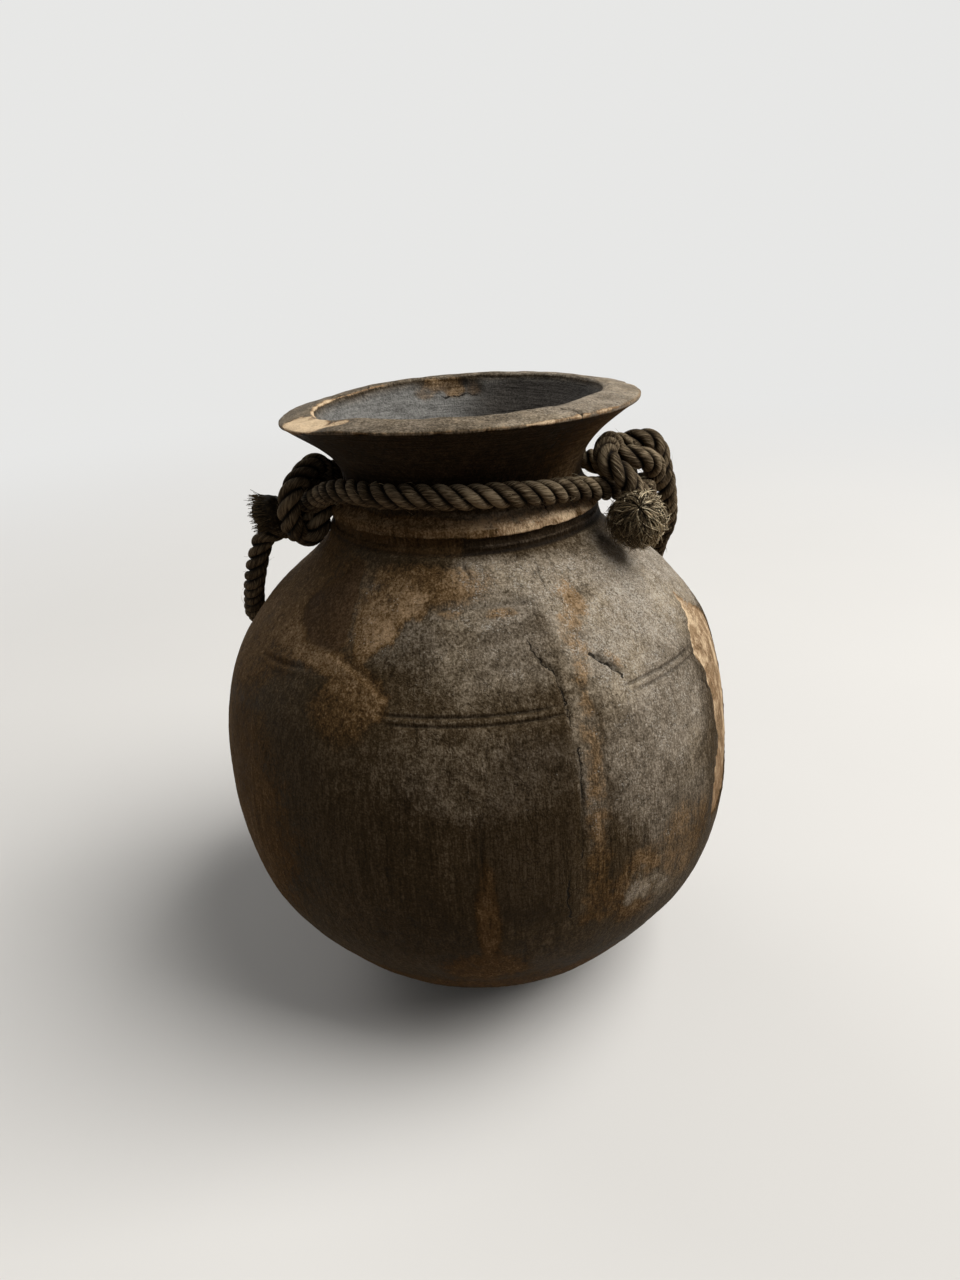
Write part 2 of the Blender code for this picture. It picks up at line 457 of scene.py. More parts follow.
def cut_group() -> Tree:
    """Make the group for one straight run of a crack.

    Returns:
        A group that puts out 1 along a line between two places and 0 beyond its half width.
    """
    sockets = {"Vector": VECTOR, "Start": VECTOR, "End": VECTOR, "Width": VALUE}
    tree, sheet, given, result = new_group("cut_line", sockets, "Cut")
    span = sheet.vector("SUBTRACT", given["End"], given["Start"])
    away = sheet.vector("SUBTRACT", given["Vector"], given["Start"])
    reach = sheet.vector("DOT_PRODUCT", away, span)
    share = sheet.math("DIVIDE", reach, sheet.vector("DOT_PRODUCT", span, span), clamp=True)
    foot = sheet.vector("SCALE", span, factor=share)
    near = sheet.vector("LENGTH", sheet.vector("SUBTRACT", away, foot))
    fall = sheet.math("DIVIDE", near, given["Width"])
    sheet.feed(result[0], sheet.less(1.0, sheet.step(fall, 0.45, 1.0)))
    return tree


@dataclass(frozen=True)
class EffectGroups:
    """The node groups that the finishes share."""

    streaks: Tree
    specks: Tree
    cut: Tree


@dataclass(frozen=True)
class AgedWood:
    """Old dark patina over brown wood, worn through in places to fresh tan wood."""

    # Near black, for cracks and grime, and for the painted shade in the crease at the foot of the
    # collar's step.
    soot_and_shade: tuple = (0.010, 0.008, 0.006)
    belly_dark: tuple = (0.013, 0.008, 0.003)
    belly: tuple = (0.047, 0.031, 0.015)
    belly_pale: tuple = (0.130, 0.097, 0.061)
    # The grey of the dust on the patina, set light enough to stand partly for the light on the right
    # shoulder: painted light.
    dusty_dark: tuple = (0.100, 0.080, 0.058)
    dusty: tuple = (0.240, 0.200, 0.151)
    dusty_pale: tuple = (0.450, 0.392, 0.316)
    brown_dark: tuple = (0.032, 0.017, 0.006)
    brown: tuple = (0.110, 0.064, 0.026)
    ochre: tuple = (0.330, 0.226, 0.130)
    tan_dark: tuple = (0.250, 0.155, 0.083)
    tan: tuple = (0.710, 0.540, 0.350)
    dust: tuple = (0.600, 0.560, 0.490)
    ash_dark: tuple = (0.075, 0.072, 0.066)
    ash: tuple = (0.170, 0.166, 0.156)
    ash_pale: tuple = (0.300, 0.294, 0.275)
    warmth: tuple = (1.0, 0.97, 0.90)
    shade: tuple = (0.36, 0.33, 0.31)
    middle: tuple = (0.0, 0.0, 0.117)

    @staticmethod
    def lathe_rings(sheet: NodeSheet, place: Socket, height: Socket) -> Socket:
        """Draw the fine rings that the turning tool left.

        Args:
            sheet: The material's sheet.
            place: The place in the pot's frame.
            height: Its height.

        Returns:
            The socket of a value about 0.
        """
        flat = sheet.vector("MULTIPLY", place, (1.0, 1.0, 0.0))
        level = sheet.weigh((height, 900.0), (sheet.vector("LENGTH", flat), 320.0))
        east, north, _ = sheet.split(sheet.vector("SCALE", sheet.vector("NORMALIZE", flat), factor=5.0))
        return sheet.less(sheet.noise(sheet.combine(east, north, level), 1.0), 0.5)

    def cracks(self, sheet: NodeSheet, groups: EffectGroups, place: Socket,
               cuts: Sequence[tuple]) -> list[Socket]:
        """Draw the black runs of the cracks, with a slight wobble.

        Args:
            sheet: The material's sheet.
            groups: The shared node groups.
            place: The place in the pot's frame.
            cuts: The start, end and half width of each run, as directions from the pot's middle.

        Returns:
            The socket of each run's mask.
        """
        wobble = sheet.add("TexNoise", Vector=place, Scale=330.0, Detail=3.0).outputs["Color"]
        wobble = sheet.vector("SCALE", sheet.vector("SUBTRACT", wobble, (0.5, 0.5, 0.5)), factor=0.0042)
        wavy = sheet.vector("SUBTRACT", sheet.vector("ADD", place, wobble), self.middle)
        wavy = sheet.vector("NORMALIZE", wavy)
        return [sheet.group(groups.cut, Vector=wavy, Start=begin, End=finish, Width=width)
                for begin, finish, width in cuts]

    def material(self, groups: EffectGroups, cuts: Sequence[tuple]) -> Material:
        """Make the pot's material.

        Args:
            groups: The shared node groups.
            cuts: The start, end and half width of each crack's runs, as directions from the pot's middle.

        Returns:
            The material, which reads the pot's "marks", "tone" and "form" attributes.
        """
        material, sheet, shader = new_material("aged_wood")
        place = sheet.place()
        worn, fresh, dark = sheet.channels("marks")
        dusty, groove, inside = sheet.channels("tone")
        turned_part = sheet.channels("form")[0]

        x, y, z = sheet.split(place)
        upright = sheet.combine(z, x, y)
        grain = sheet.group(groups.streaks, Vector=upright, Across=420.0, Along=30.0)
        hair = sheet.group(groups.streaks, Vector=upright, Across=1300.0, Along=110.0)
        lathe = sheet.times(self.lathe_rings(sheet, place, z), turned_part)
        blotch = sheet.noise(place, 24.0)
        mottle = sheet.noise(place, 150.0, 4.0)
        fine = sheet.noise(place, 520.0)
        pores = sheet.noise(place, 1300.0, 2.0)
        pits = sheet.group(groups.specks, Vector=place, Scale=950.0, Share=0.30)
        veins = sheet.math("ABSOLUTE", sheet.less(sheet.noise(upright, 55.0, 4.0), 0.5))
        scratch = sheet.less(1.0, sheet.step(veins, 0.0, 0.010))
        nicks = sheet.times(scratch, sheet.step(blotch, 0.47, 0.58))
        clinging = sheet.less(dusty, sheet.times(turned_part, 0.45))
        dust = sheet.group(groups.specks, Vector=place, Scale=1500.0, Share=clinging)

        ragged = sheet.weigh(
            (mottle, 0.30), (fine, 0.40), (pores, 0.25), (hair, 0.30), (grain, 0.25), shift=-0.75)
        worn_mask = sheet.step(sheet.math("ADD", worn, ragged), 0.29, 0.65)
        fresh_mask = sheet.step(sheet.math("MULTIPLY_ADD", ragged, 0.8, fresh), 0.40, 0.60)
        dark_mask = sheet.step(sheet.math("MULTIPLY_ADD", ragged, 0.8, dark), 0.15, 0.90)
        dusty_mask = sheet.step(sheet.math("MULTIPLY_ADD", ragged, 0.9, dusty), 0.05, 0.95)

        light = sheet.weigh(
            (blotch, 0.12), (mottle, 0.14), (fine, 0.18), (pores, 0.28), (hair, 0.28), (lathe, 0.25))
        streaked = sheet.weigh((grain, 0.22), (light, 0.78))
        belly = sheet.ramp(streaked, (0.41, self.belly_dark), (0.50, self.belly), (0.60, self.belly_pale))
        grey = sheet.ramp(light, (0.40, self.dusty_dark), (0.50, self.dusty), (0.61, self.dusty_pale))
        grey = sheet.blend(sheet.step(blotch, 0.47, 0.62), grey, self.warmth, "MULTIPLY")
        rubbed = sheet.weigh((streaked, 1.0), (dusty, 0.13), (sheet.times(worn, worn), 0.16), shift=-0.10)
        brown = sheet.ramp(rubbed, (0.40, self.brown_dark), (0.49, self.brown), (0.60, self.ochre))
        bared = sheet.weigh((hair, 0.55), (mottle, 0.20), (blotch, 0.25), (fresh, 0.36), shift=-0.26)
        tan = sheet.ramp(bared, (0.42, self.tan_dark), (0.57, self.tan))
        ash = sheet.ramp(light, (0.39, self.ash_dark), (0.50, self.ash), (0.63, self.ash_pale))

        marred = sheet.math("MAXIMUM", sheet.times(pits, 0.55), sheet.times(nicks, 0.45))
        # Dust, which also carries painted light on the right shoulder, the collar's slope, the lip and
        # the inside.
        colour = sheet.blend(dusty_mask, belly, grey)
        colour = sheet.blend(worn_mask, colour, brown)
        colour = sheet.blend(inside, colour, ash)
        # Darker patina, and painted shade on the collar's underside, on the neck and on the right of the
        # inside.
        colour = sheet.blend(dark_mask, colour, self.shade, "MULTIPLY")
        colour = sheet.blend(fresh_mask, colour, tan)
        colour = sheet.blend(sheet.times(dust, 0.45), colour, self.dust)
        colour = sheet.blend(marred, colour, self.shade, "MULTIPLY")
        # Cracks, grooves and grime go near black, and so does the painted shade laid with the grime.
        deep = groove
        for cut in self.cracks(sheet, groups, place, cuts):
            deep = sheet.math("MAXIMUM", deep, cut)
        colour = sheet.blend(sheet.times(deep, 0.93), colour, self.soot_and_shade)

        gloss = sheet.weigh(
            (mottle, 0.30), (fine, 0.20), (worn_mask, 0.12), (fresh_mask, 0.10), shift=0.40)
        height = sheet.weigh(
            (fine, 0.5), (pores, 0.4), (mottle, 0.7), (hair, 0.5), (lathe, 0.8),
            (deep, -0.5), (marred, -0.5))
        bump = sheet.add("Bump", Strength=0.6, Distance=0.0012, Height=height).outputs[0]
        sheet.fill(shader, Base_Color=colour, Roughness=gloss, Specular_IOR_Level=0.04, Normal=bump)
        return material


@dataclass(frozen=True)
class OldRope:
    """Dusty dark plant fibre, laid in three strands."""

    # Near black, for the painted shade in the valleys between strands.
    hollow: tuple = (0.004, 0.003, 0.002)
    dark: tuple = (0.022, 0.015, 0.009)
    fibre: tuple = (0.084, 0.060, 0.035)
    pale: tuple = (0.320, 0.250, 0.160)

    def material(self, groups: EffectGroups) -> Material:
        """Make the rope's material.

        Args:
            groups: The shared node groups.

        Returns:
            The material, which reads the rope's UV map and its "lay" attribute.
        """
        material, sheet, shader = new_material("old_rope")
        uv = sheet.add("UVMap", {"uv_map": "lay_map"}).outputs[0]
        place = sheet.place()
        crest, shade, _ = sheet.channels("lay")
        yarn = sheet.group(groups.streaks, Vector=uv, Across=95.0, Along=14.0)
        hair = sheet.group(groups.streaks, Vector=uv, Across=210.0, Along=20.0)
        blotch = sheet.noise(place, 60.0)
        dust = sheet.group(groups.specks, Vector=place, Scale=1100.0, Share=0.25)
        # Lighter along the strands' crests: painted highlight.
        level = sheet.weigh(
            (yarn, 0.45), (hair, 0.50), (blotch, 0.20), (shade, 0.06), (crest, 0.14), shift=-0.21)
        colour = sheet.ramp(level, (0.41, self.dark), (0.50, self.fibre), (0.61, self.pale))
        # Near black in the valleys between strands: painted shade.
        sunk = sheet.less(1.0, sheet.step(crest, 0.15, 0.80))
        colour = sheet.blend(sheet.times(sunk, 0.93), colour, self.hollow)
        colour = sheet.blend(sheet.times(dust, 0.25), colour, self.pale)
        gloss = sheet.weigh((hair, 0.2), shift=0.72)
        height = sheet.weigh((yarn, 1.0), (hair, 0.8))
        bump = sheet.add("Bump", Strength=0.9, Distance=0.0012, Height=height).outputs[0]
        sheet.fill(shader, Base_Color=colour, Roughness=gloss, Specular_IOR_Level=0.06, Normal=bump)
        return material


@dataclass(frozen=True)
class LooseFibre:
    """Fibres that have come out of the rope, dark at the root and straw-coloured at the tip."""

    root: tuple = (0.010, 0.007, 0.004)
    middle: tuple = (0.170, 0.127, 0.073)
    tip: tuple = (0.860, 0.730, 0.500)

    def material(self) -> Material:
        """Make the material, which reads the fibres' "strand" attribute.

        Returns:
            The material.
        """
        material, sheet, shader = new_material("loose_fibre")
        along, shade, _ = sheet.channels("strand")
        patch = sheet.noise(sheet.place(), 700.0, 2.0)
        level = sheet.weigh((along, 0.30), (shade, 0.90), (patch, 0.3), shift=-0.15)
        colour = sheet.ramp(level, (0.08, self.root), (0.45, self.middle), (0.90, self.tip))
        gloss = sheet.weigh((patch, 0.3), shift=0.42)
        sheet.fill(shader, Base_Color=colour, Roughness=gloss, Specular_IOR_Level=0.04)
        return material


@dataclass(frozen=True)
class PaleFloor:
    """A plain pale studio floor that fades into the backdrop away from the object."""

    colour: tuple = (0.76, 0.75, 0.73)
    bounce: tuple = (0.17, 0.12, 0.08)
    fade: tuple = (0.35, 1.5)

    def material(self, sky: tuple) -> Material:
        """Make the floor's material.

        Args:
            sky: The backdrop's colour.

        Returns:
            The material, which throws less light up than it shows.
        """
        material, sheet, shader = new_material("pale_floor")
        place = sheet.place()
        seen = sheet.seen()
        darker = tuple(value * 0.97 for value in self.colour)
        pale = sheet.ramp(sheet.noise(place, 3.0), (0.3, darker), (0.7, self.colour))
        colour = sheet.blend(seen, self.bounce, pale)
        sheet.fill(shader, Base_Color=colour, Roughness=0.85, Specular_IOR_Level=0.2)
        far = sheet.step(sheet.vector("LENGTH", place), *self.fade)
        glow = sheet.add("Emission", Color=(*sky, 1.0))
        mixed = sheet.add("MixShader", Fac=sheet.times(far, seen))
        sheet.feed(mixed.inputs[1], shader.outputs[0])
        sheet.feed(mixed.inputs[2], glow.outputs[0])
        sheet.feed(material.node_tree.nodes["Material Output"].inputs["Surface"], mixed.outputs[0])
        return material


class Zone(Enum):
    """Stretches of the pot's turned outline, in order from the foot."""

    BELLY = 0
    COLLAR = 1
    NECK = 2
    LIP = 3
    HOLLOW = 4


@dataclass(frozen=True)
class Patch:
    """A soft round patch on the pot's outside, about a turn and a height.

    The halves run along and up the surface, and the lean tips its top to the right.
    """

    turn: float
    height: float
    half_width: float
    half_height: float
    amount: float = 1.0
    lean: float = 0.0


@dataclass(frozen=True)
class Region:
    """A patch with its own outline, given as turns and heights, and a soft, ragged edge."""

    corners: tuple
    amount: float = 1.0
    soft: float = 1.2
    ragged: float = 1.0
    depth: float = 0.0


@dataclass(frozen=True)
class Chip:
    """A lump of wood broken away around a place given as turn, radius and height."""

    turn: float
    radius: float
    height: float
    half_width: float
    half_radius: float
    half_height: float
    depth: float
    fresh: float = 0.0
    worn: float = 0.0


@dataclass(frozen=True)
class Groove:
    """A cut, crack or gouge along places given as turn, radius and height."""

    route: tuple
    half_width: float
    depth: float
    lip: float = 0.0
    dirt: float = 1.0
    inked: float = 0.0

    def line(self) -> Array:
        """Give the groove's places as points."""
        spots = np.array(self.route)
        angle = np.radians(spots[:, 0])
        return np.stack([spots[:, 1] * np.sin(angle), -spots[:, 1] * np.cos(angle), spots[:, 2]], axis=1)

    def cuts(self) -> list[tuple]:
        """List the runs that the finish draws as a black line, as directions from the pot's middle."""
        if not self.inked:
            return []
        spots = self.line() * MM - np.array(AgedWood.middle)
        far = np.linalg.norm(spots, axis=1)
        ends = [tuple(float(value) for value in spot) for spot in spots / far[:, None]]
        return [(begin, finish, self.inked * MM / float(far[0])) for begin, finish in zip(ends, ends[1:])]


@dataclass(frozen=True)
class Ring:
    """A line scored round the pot, with how deep it still is over some turns."""

    height: float
    half_width: float
    depth: float
    kept: tuple
    elsewhere: float


@dataclass(frozen=True)
class Bulge:
    """A soft rise of the belly, or a hollow where the amount is less than 0.

    It starts, is full, starts to fade and ends at four turns and at four heights.
    """

    turns: tuple
    heights: tuple
    amount: float = 1.0


class Masks:
    """The masks that the wood's material reads, each the strongest of what is laid on it."""

    def __init__(self, count: int) -> None:
        """Start with nothing laid on a number of vertices."""
        self.worn, self.fresh, self.dark, self.dusty, self.dirt = np.zeros((5, count))

    def lay(self, **amounts: Array) -> None:
        """Lay more on some masks, which shows where it is stronger than what lies there."""
        for name, amount in amounts.items():
            setattr(self, name, np.maximum(getattr(self, name), amount))

    def clipped(self) -> list[Array]:
        """Give the worn, fresh, dark, dust and grime masks, each within 0 to 1; the dust mask also
        carries painted light and the grime mask painted shade.
        """
        masks = (self.worn, self.fresh, self.dark, self.dusty, self.dirt)
        return [np.clip(mask, 0.0, 1.0) for mask in masks]


@dataclass
class TurnedPot:
    """The pot: one block of wood, turned outside and hollowed inside, then worn by long use."""

    foot_radius: float = 40.0
    belly_radius: float = 113.0
    belly_height: float = 117.0
    collar_radius: float = 57.0
    collar_height: float = 224.0
    neck_radius: float = 49.4
    neck_height: float = 236.0
    rim_radius: float = 73.0
    rim_height: float = 266.5
    mouth_radius: float = 58.3
    pot_height: float = 269.8
    throat_radius: float = 41.0
    hollow_radius: float = 102.8
    floor_thickness: float = 13.0
    rim_lean: float = 4.4
    columns: int = 384
    front_crowding: float = 0.45
    score_band: tuple = (167.0, 174.5)
    slit_band: tuple = (174.5, 187.0)
    flat_foot: float = 6.0
    rim_wear: float = 2.8

    bulges: tuple = (
        Bulge((30.0, 60.0, 84.0, 104.0), (150.0, 185.0, 205.0, 218.0), 1.3),
        Bulge((-140.0, -80.0, -60.0, -25.0), (150.0, 185.0, 205.0, 218.0), -1.1),
        Bulge((-165.0, -135.0, -85.0, -40.0), (182.0, 208.0, 214.0, 221.0), -3.3),
        Bulge((50.0, 95.0, 135.0, 165.0), (190.0, 211.0, 214.0, 221.0), -3.4),
        Bulge((-130.0, -95.0, -60.0, -30.0), (4.0, 36.0, 44.0, 96.0), 1.4),
        Bulge((35.0, 65.0, 95.0, 125.0), (4.0, 36.0, 44.0, 96.0), 2.0),
    )
    dusty_swell: Bulge = Bulge((12.0, 19.0, 40.0, 60.0), (150.0, 185.0, 205.0, 218.0))

    score_lines: tuple = (
        Ring(172.2, 0.62, 0.62, ((-20.5, 15.5, 1.0), (33.0, 59.0, 1.0), (112.0, 150.0, 0.6)), 0.10),
        Ring(169.4, 0.60, 0.58, ((-18.5, 17.5, 1.0), (35.0, 58.0, 0.9), (108.0, 146.0, 0.6)), 0.08),
        Ring(205.6, 0.70, 0.58, ((-24.0, 24.0, 1.0),), 0.15),
        Ring(203.4, 0.65, 0.46, ((-15.0, 18.0, 1.0),), 0.10),
        Ring(208.6, 0.65, 0.30, ((-4.0, 40.0, 1.0),), 0.10),
    )
    grooves: tuple = (
        Groove(((27.8, 89.5, 184.3), (29.5, 91.0, 182.2), (30.2, 92.1, 180.6), (31.4, 92.8, 179.7),
                (32.0, 94.1, 177.9), (33.1, 94.8, 176.9), (33.2, 95.9, 175.4)),
               0.85, 2.4, 0.5, 1.0, 0.75),
        Groove(((29.6, 88.6, 185.4), (31.9, 90.4, 183.0), (33.5, 92.0, 180.8), (35.0, 94.6, 177.2)),
               1.3, -0.8, 0.0, 0.0),
        Groove(((13.2, 82.7, 192.3), (15.4, 89.0, 184.9), (17.6, 90.9, 182.3), (18.1, 96.3, 174.9),
                (18.4, 102.4, 165.7)), 0.8, 0.9, 0.4, 0.6, 0.32),
        Groove(((19.4, 105.2, 157.5), (18.8, 110.0, 142.0), (17.8, 112.9, 115.5)),
               0.7, 1.2, 0.2, 0.9, 0.55),
        Groove(((15.4, 112.6, 107.0), (15.0, 111.6, 97.0), (15.8, 110.0, 88.0)),
               0.7, 1.3, 0.2, 0.9, 0.55),
        Groove(((12.6, 112.9, 118.0), (13.4, 112.2, 106.0), (13.9, 110.4, 92.0)), 0.5, 0.7, 0.1, 0.8),
        Groove(((-1.2, 107.0, 152.0), (-0.9, 112.8, 122.0), (-1.5, 110.6, 88.0)), 0.6, 0.45, 0.2, 0.60),
        Groove(((6.4, 112.0, 94.0), (6.9, 105.7, 69.0), (6.2, 97.5, 54.0)), 0.5, 0.45, 0.0, 0.6),
        Groove(((-63.5, 94.6, 177.2), (-55.9, 94.0, 178.0), (-49.3, 93.2, 179.2), (-41.0, 92.2, 180.6)),
               0.9, 1.0, 0.6, 0.55),
        Groove(((-45.0, 85.7, 188.9), (-38.0, 86.8, 187.8), (-32.6, 88.2, 186.1), (-27.6, 90.1, 183.4),
                (-21.7, 93.3, 179.0), (-17.7, 96.1, 175.2)), 1.3, 0.40, 0.3, 0.35),
        Groove(((-2.4, 60.0, 215.6), (-0.8, 62.5, 213.0), (0.6, 64.6, 211.0)), 0.7, 0.8, 0.2, 0.8),
        Groove(((23.6, 62.0, 213.5), (23.2, 66.0, 209.6), (23.0, 70.0, 206.0)), 0.5, 0.5, 0.0, 0.7),
        Groove(((24.0, 111.4, 130.5), (30.0, 111.0, 133.0), (36.0, 111.5, 129.0), (43.0, 113.0, 118.0)),
               0.9, 0.2, 0.0, -0.5),
        Groove(((33.6, 64.0, 269.1), (36.2, 70.0, 267.9), (35.8, 73.2, 266.4)),
               0.6, 1.6, 0.1, 1.0, 0.45),
        Groove(((171.0, 57.6, 267.4), (179.0, 57.0, 265.6), (188.0, 55.8, 264.0)),
               0.8, 1.6, 0.1, 1.0, 0.5),
        Groove(((-96.0, 112.5, 100.0), (-95.0, 108.0, 75.0), (-96.5, 96.0, 52.0)), 0.6, 0.8, 0.1, 0.8),
        Groove(((151.0, 108.0, 150.0), (150.0, 113.0, 117.0), (151.5, 110.0, 86.0)),
               0.7, 0.9, 0.1, 0.8),
        Groove(((-158.0, 95.0, 177.0), (-157.0, 105.0, 159.0), (-158.5, 111.0, 135.0)),
               0.6, 0.7, 0.1, 0.8),
    )
    chips: tuple = (
        Chip(-60.0, 67.0, 268.4, 22.0, 10.0, 5.0, 0.9, fresh=1.0),
        Chip(-44.0, 64.0, 269.0, 9.0, 4.0, 4.0, 0.5, fresh=0.75),
        Chip(-173.0, 57.5, 266.0, 12.0, 5.0, 6.0, 2.2, worn=0.75),
        Chip(-179.0, 55.0, 263.0, 6.0, 4.0, 6.0, 1.6, worn=0.9, fresh=0.30),
        Chip(172.0, 55.5, 262.0, 5.0, 4.0, 7.0, 1.4, worn=0.7),
        Chip(-164.0, 55.0, 262.0, 6.0, 4.0, 5.0, 0.8, worn=0.6),
        Chip(-6.0, 73.2, 266.4, 2.5, 2.0, 2.0, 0.8, worn=0.6),
        Chip(8.0, 73.2, 266.4, 3.0, 2.0, 2.0, 0.5, worn=0.5),
        Chip(20.0, 73.2, 266.4, 3.0, 2.0, 2.0, 0.6, worn=0.5),
        Chip(-28.0, 73.0, 266.2, 4.0, 2.5, 2.0, 0.6, worn=0.7),
        Chip(98.0, 72.8, 266.6, 6.0, 2.5, 2.2, 0.7, worn=0.6, fresh=0.4),
        Chip(148.0, 72.8, 266.6, 8.0, 2.5, 2.2, 0.6, worn=0.8),
        Chip(33.0, 57.0, 224.0, 3.0, 2.0, 1.6, 0.9, worn=0.4),
    )
    bared_side: Region = Region(
        ((69.7, 186.2), (69.2, 182.0), (65.4, 178.4), (62.0, 173.0), (59.2, 169.0), (61.7, 159.4),
         (62.0, 148.3), (61.6, 137.2), (61.0, 126.1), (58.4, 117.0), (57.5, 106.8), (58.0, 96.0),
         (63.0, 93.0), (72.0, 100.0), (82.0, 114.0), (87.0, 136.0), (88.0, 155.0), (86.0, 167.0),
         (79.0, 175.0), (73.6, 180.6)), 1.0, 1.2, 2.0, depth=1.1)
    stippled: Region = Region(
        ((-10.0, 205.5), (-12.5, 203.5), (-15.0, 200.6), (-17.7, 197.3), (-20.3, 193.4), (-23.2, 190.5),
         (-25.2, 187.4), (-26.7, 185.7), (-31.6, 187.8), (-34.1, 191.7), (-34.9, 197.5), (-35.5, 203.4),
         (-31.0, 210.0), (-23.6, 212.5), (-13.0, 211.0)), 1.0, 3.6, 3.4)
    brown_ridge: Region = Region(
        ((-64.0, 197.0), (-53.6, 193.0), (-48.0, 189.0), (-41.4, 188.0), (-35.3, 187.5), (-31.6, 188.0),
         (-26.7, 186.0), (-22.0, 183.5), (-19.0, 178.0), (-19.5, 170.0), (-24.0, 168.0), (-30.0, 173.0),
         (-38.0, 180.0), (-50.0, 181.5), (-66.0, 182.0)), 0.80, 4.0, 3.0)
    rust_strip: Region = Region(
        ((26.0, 210.0), (25.6, 204.0), (23.4, 197.0), (21.6, 190.0), (21.4, 184.0), (20.8, 176.0),
         (19.6, 166.0), (19.8, 154.0), (19.2, 143.0), (18.6, 127.0), (18.0, 112.0), (17.0, 96.0),
         (17.0, 80.0), (27.0, 76.0), (30.0, 84.0), (26.5, 98.0), (25.0, 112.0), (24.4, 128.0),
         (24.6, 144.0), (25.0, 160.0), (25.2, 172.0), (28.0, 184.5), (31.0, 192.0), (34.6, 199.0),
         (34.2, 206.0)), 0.56, 6.0, 5.0, depth=0.5)
    dark_corner: Region = Region(
        ((-45.4, 214.0), (-46.9, 208.0), (-53.3, 204.3), (-56.7, 201.7), (-58.2, 197.8), (-53.6, 192.6),
         (-48.0, 188.8), (-41.4, 187.8), (-35.3, 187.2), (-34.0, 190.9), (-35.2, 197.5), (-36.5, 203.8),
         (-38.0, 210.0), (-40.0, 214.0)), 0.85, 1.4, 0.8, depth=0.35)
    dark_panel: Region = Region(
        ((6.0, 167.5), (17.5, 167.0), (18.8, 153.0), (18.2, 130.0), (17.3, 112.0), (14.8, 104.0),
         (13.0, 86.0), (3.0, 84.0), (-6.0, 110.0), (-2.0, 140.0)), 0.48, 6.0, 4.0)
    smooth_panel: Region = Region(
        ((-9.0, 203.0), (-12.5, 201.5), (-17.7, 195.5), (-23.0, 188.5), (-21.5, 179.0), (-19.5, 173.5),
         (16.0, 173.0), (17.2, 181.0), (13.0, 191.5), (9.0, 200.0)), 0.20, 3.5, 2.0)
    scuff: Region = Region(
        ((27.0, 92.0), (30.0, 97.0), (34.0, 95.0), (38.0, 90.0), (37.0, 85.0), (33.0, 82.0),
         (29.5, 84.0)), 0.80, 5.5, 8.0)
    worn: tuple = (
        Patch(-14.0, 209.0, 30.0, 12.0, 0.62, 4.0),
        Patch(-34.0, 198.0, 26.0, 20.0, 0.48),
        Patch(-82.0, 190.0, 64.0, 58.0, 0.74),
        Patch(-30.0, 172.0, 20.0, 18.0, 0.60),
        Patch(-64.0, 110.0, 54.0, 64.0, 0.72),
        Patch(-128.0, 150.0, 70.0, 62.0, 0.50),
        Patch(-0.5, 90.0, 6.0, 34.0, 0.72),
        Patch(-2.0, 60.0, 24.0, 20.0, 0.66),
        Patch(0.0, 24.0, 400.0, 38.0, 0.62),
        Patch(8.0, 200.5, 9.0, 3.0, 0.60),
        Patch(-6.0, 201.5, 7.0, 3.0, 0.56),
        Patch(3.0, 213.0, 8.0, 3.0, 0.42),
        Patch(33.0, 181.0, 2.4, 7.0, 0.52, -30.0),
        Patch(45.0, 100.0, 26.0, 26.0, 0.50),
        Patch(31.0, 92.0, 18.0, 24.0, 0.62),
        Patch(30.0, 200.0, 6.0, 10.0, 0.66, -20.0),
        Patch(90.0, 182.0, 9.0, 10.0, 0.42),
        Patch(100.0, 120.0, 40.0, 64.0, 0.46),
        Patch(160.0, 110.0, 50.0, 55.0, 0.40),
    )
    ochre_spots: tuple = (
        Patch(-22.0, 192.0, 8.0, 11.0, 0.95, -30.0),
        Patch(-15.0, 203.0, 8.0, 7.0, 0.75, -30.0),
        Patch(-28.0, 196.0, 7.0, 9.0, 0.55),
    )
    dark: tuple = (
        Patch(-42.0, 150.0, 26.0, 22.0, 0.40),
        Patch(-62.0, 138.0, 22.0, 30.0, 0.42),
        Patch(-12.0, 82.0, 30.0, 26.0, 0.36),
        Patch(-30.0, 120.0, 30.0, 30.0, 0.30),
        Patch(120.0, 190.0, 26.0, 20.0, 0.45),
        Patch(-150.0, 190.0, 26.0, 22.0, 0.40),
        Patch(178.0, 150.0, 26.0, 30.0, 0.35),
    )
    # Dust on the patina. The heaviest patches, on the right shoulder, also stand for the light that falls
    # there: painted light.
    dusty: tuple = (
        Patch(54.0, 194.0, 32.0, 30.0, 1.0, -10.0),
        Patch(80.0, 194.0, 32.0, 28.0, 1.0),
        Patch(36.0, 184.0, 26.0, 30.0, 0.90),
        Patch(44.0, 160.0, 30.0, 34.0, 0.72),
        Patch(42.0, 124.0, 26.0, 30.0, 0.48),
        Patch(33.0, 148.0, 18.0, 34.0, 0.60),
        Patch(38.0, 96.0, 24.0, 26.0, 0.42),
        Patch(26.0, 208.0, 22.0, 11.0, 0.85),
        Patch(25.0, 194.0, 9.0, 22.0, 0.80),
        Patch(21.5, 152.0, 7.0, 38.0, 0.50),
        Patch(6.0, 211.0, 18.0, 9.0, 0.78),
        Patch(4.0, 190.0, 34.0, 22.0, 0.46),
        Patch(5.0, 201.0, 26.0, 10.0, 0.66),
        Patch(0.0, 152.0, 44.0, 20.0, 0.27),
        Patch(-25.0, 200.0, 22.0, 20.0, 0.46),
        Patch(-44.0, 185.0, 26.0, 8.0, 0.30),
        Patch(120.0, 200.0, 60.0, 26.0, 0.60),
        Patch(-140.0, 204.0, 60.0, 22.0, 0.40),
    )
    fresh: tuple = (
        Patch(68.4, 181.3, 3.4, 5.0, 1.0),
        Patch(76.0, 157.0, 4.0, 10.0, 0.95),
        Patch(57.0, 105.0, 3.0, 9.0, 0.90),
        Patch(72.0, 130.0, 4.0, 10.0, 0.85),
    )

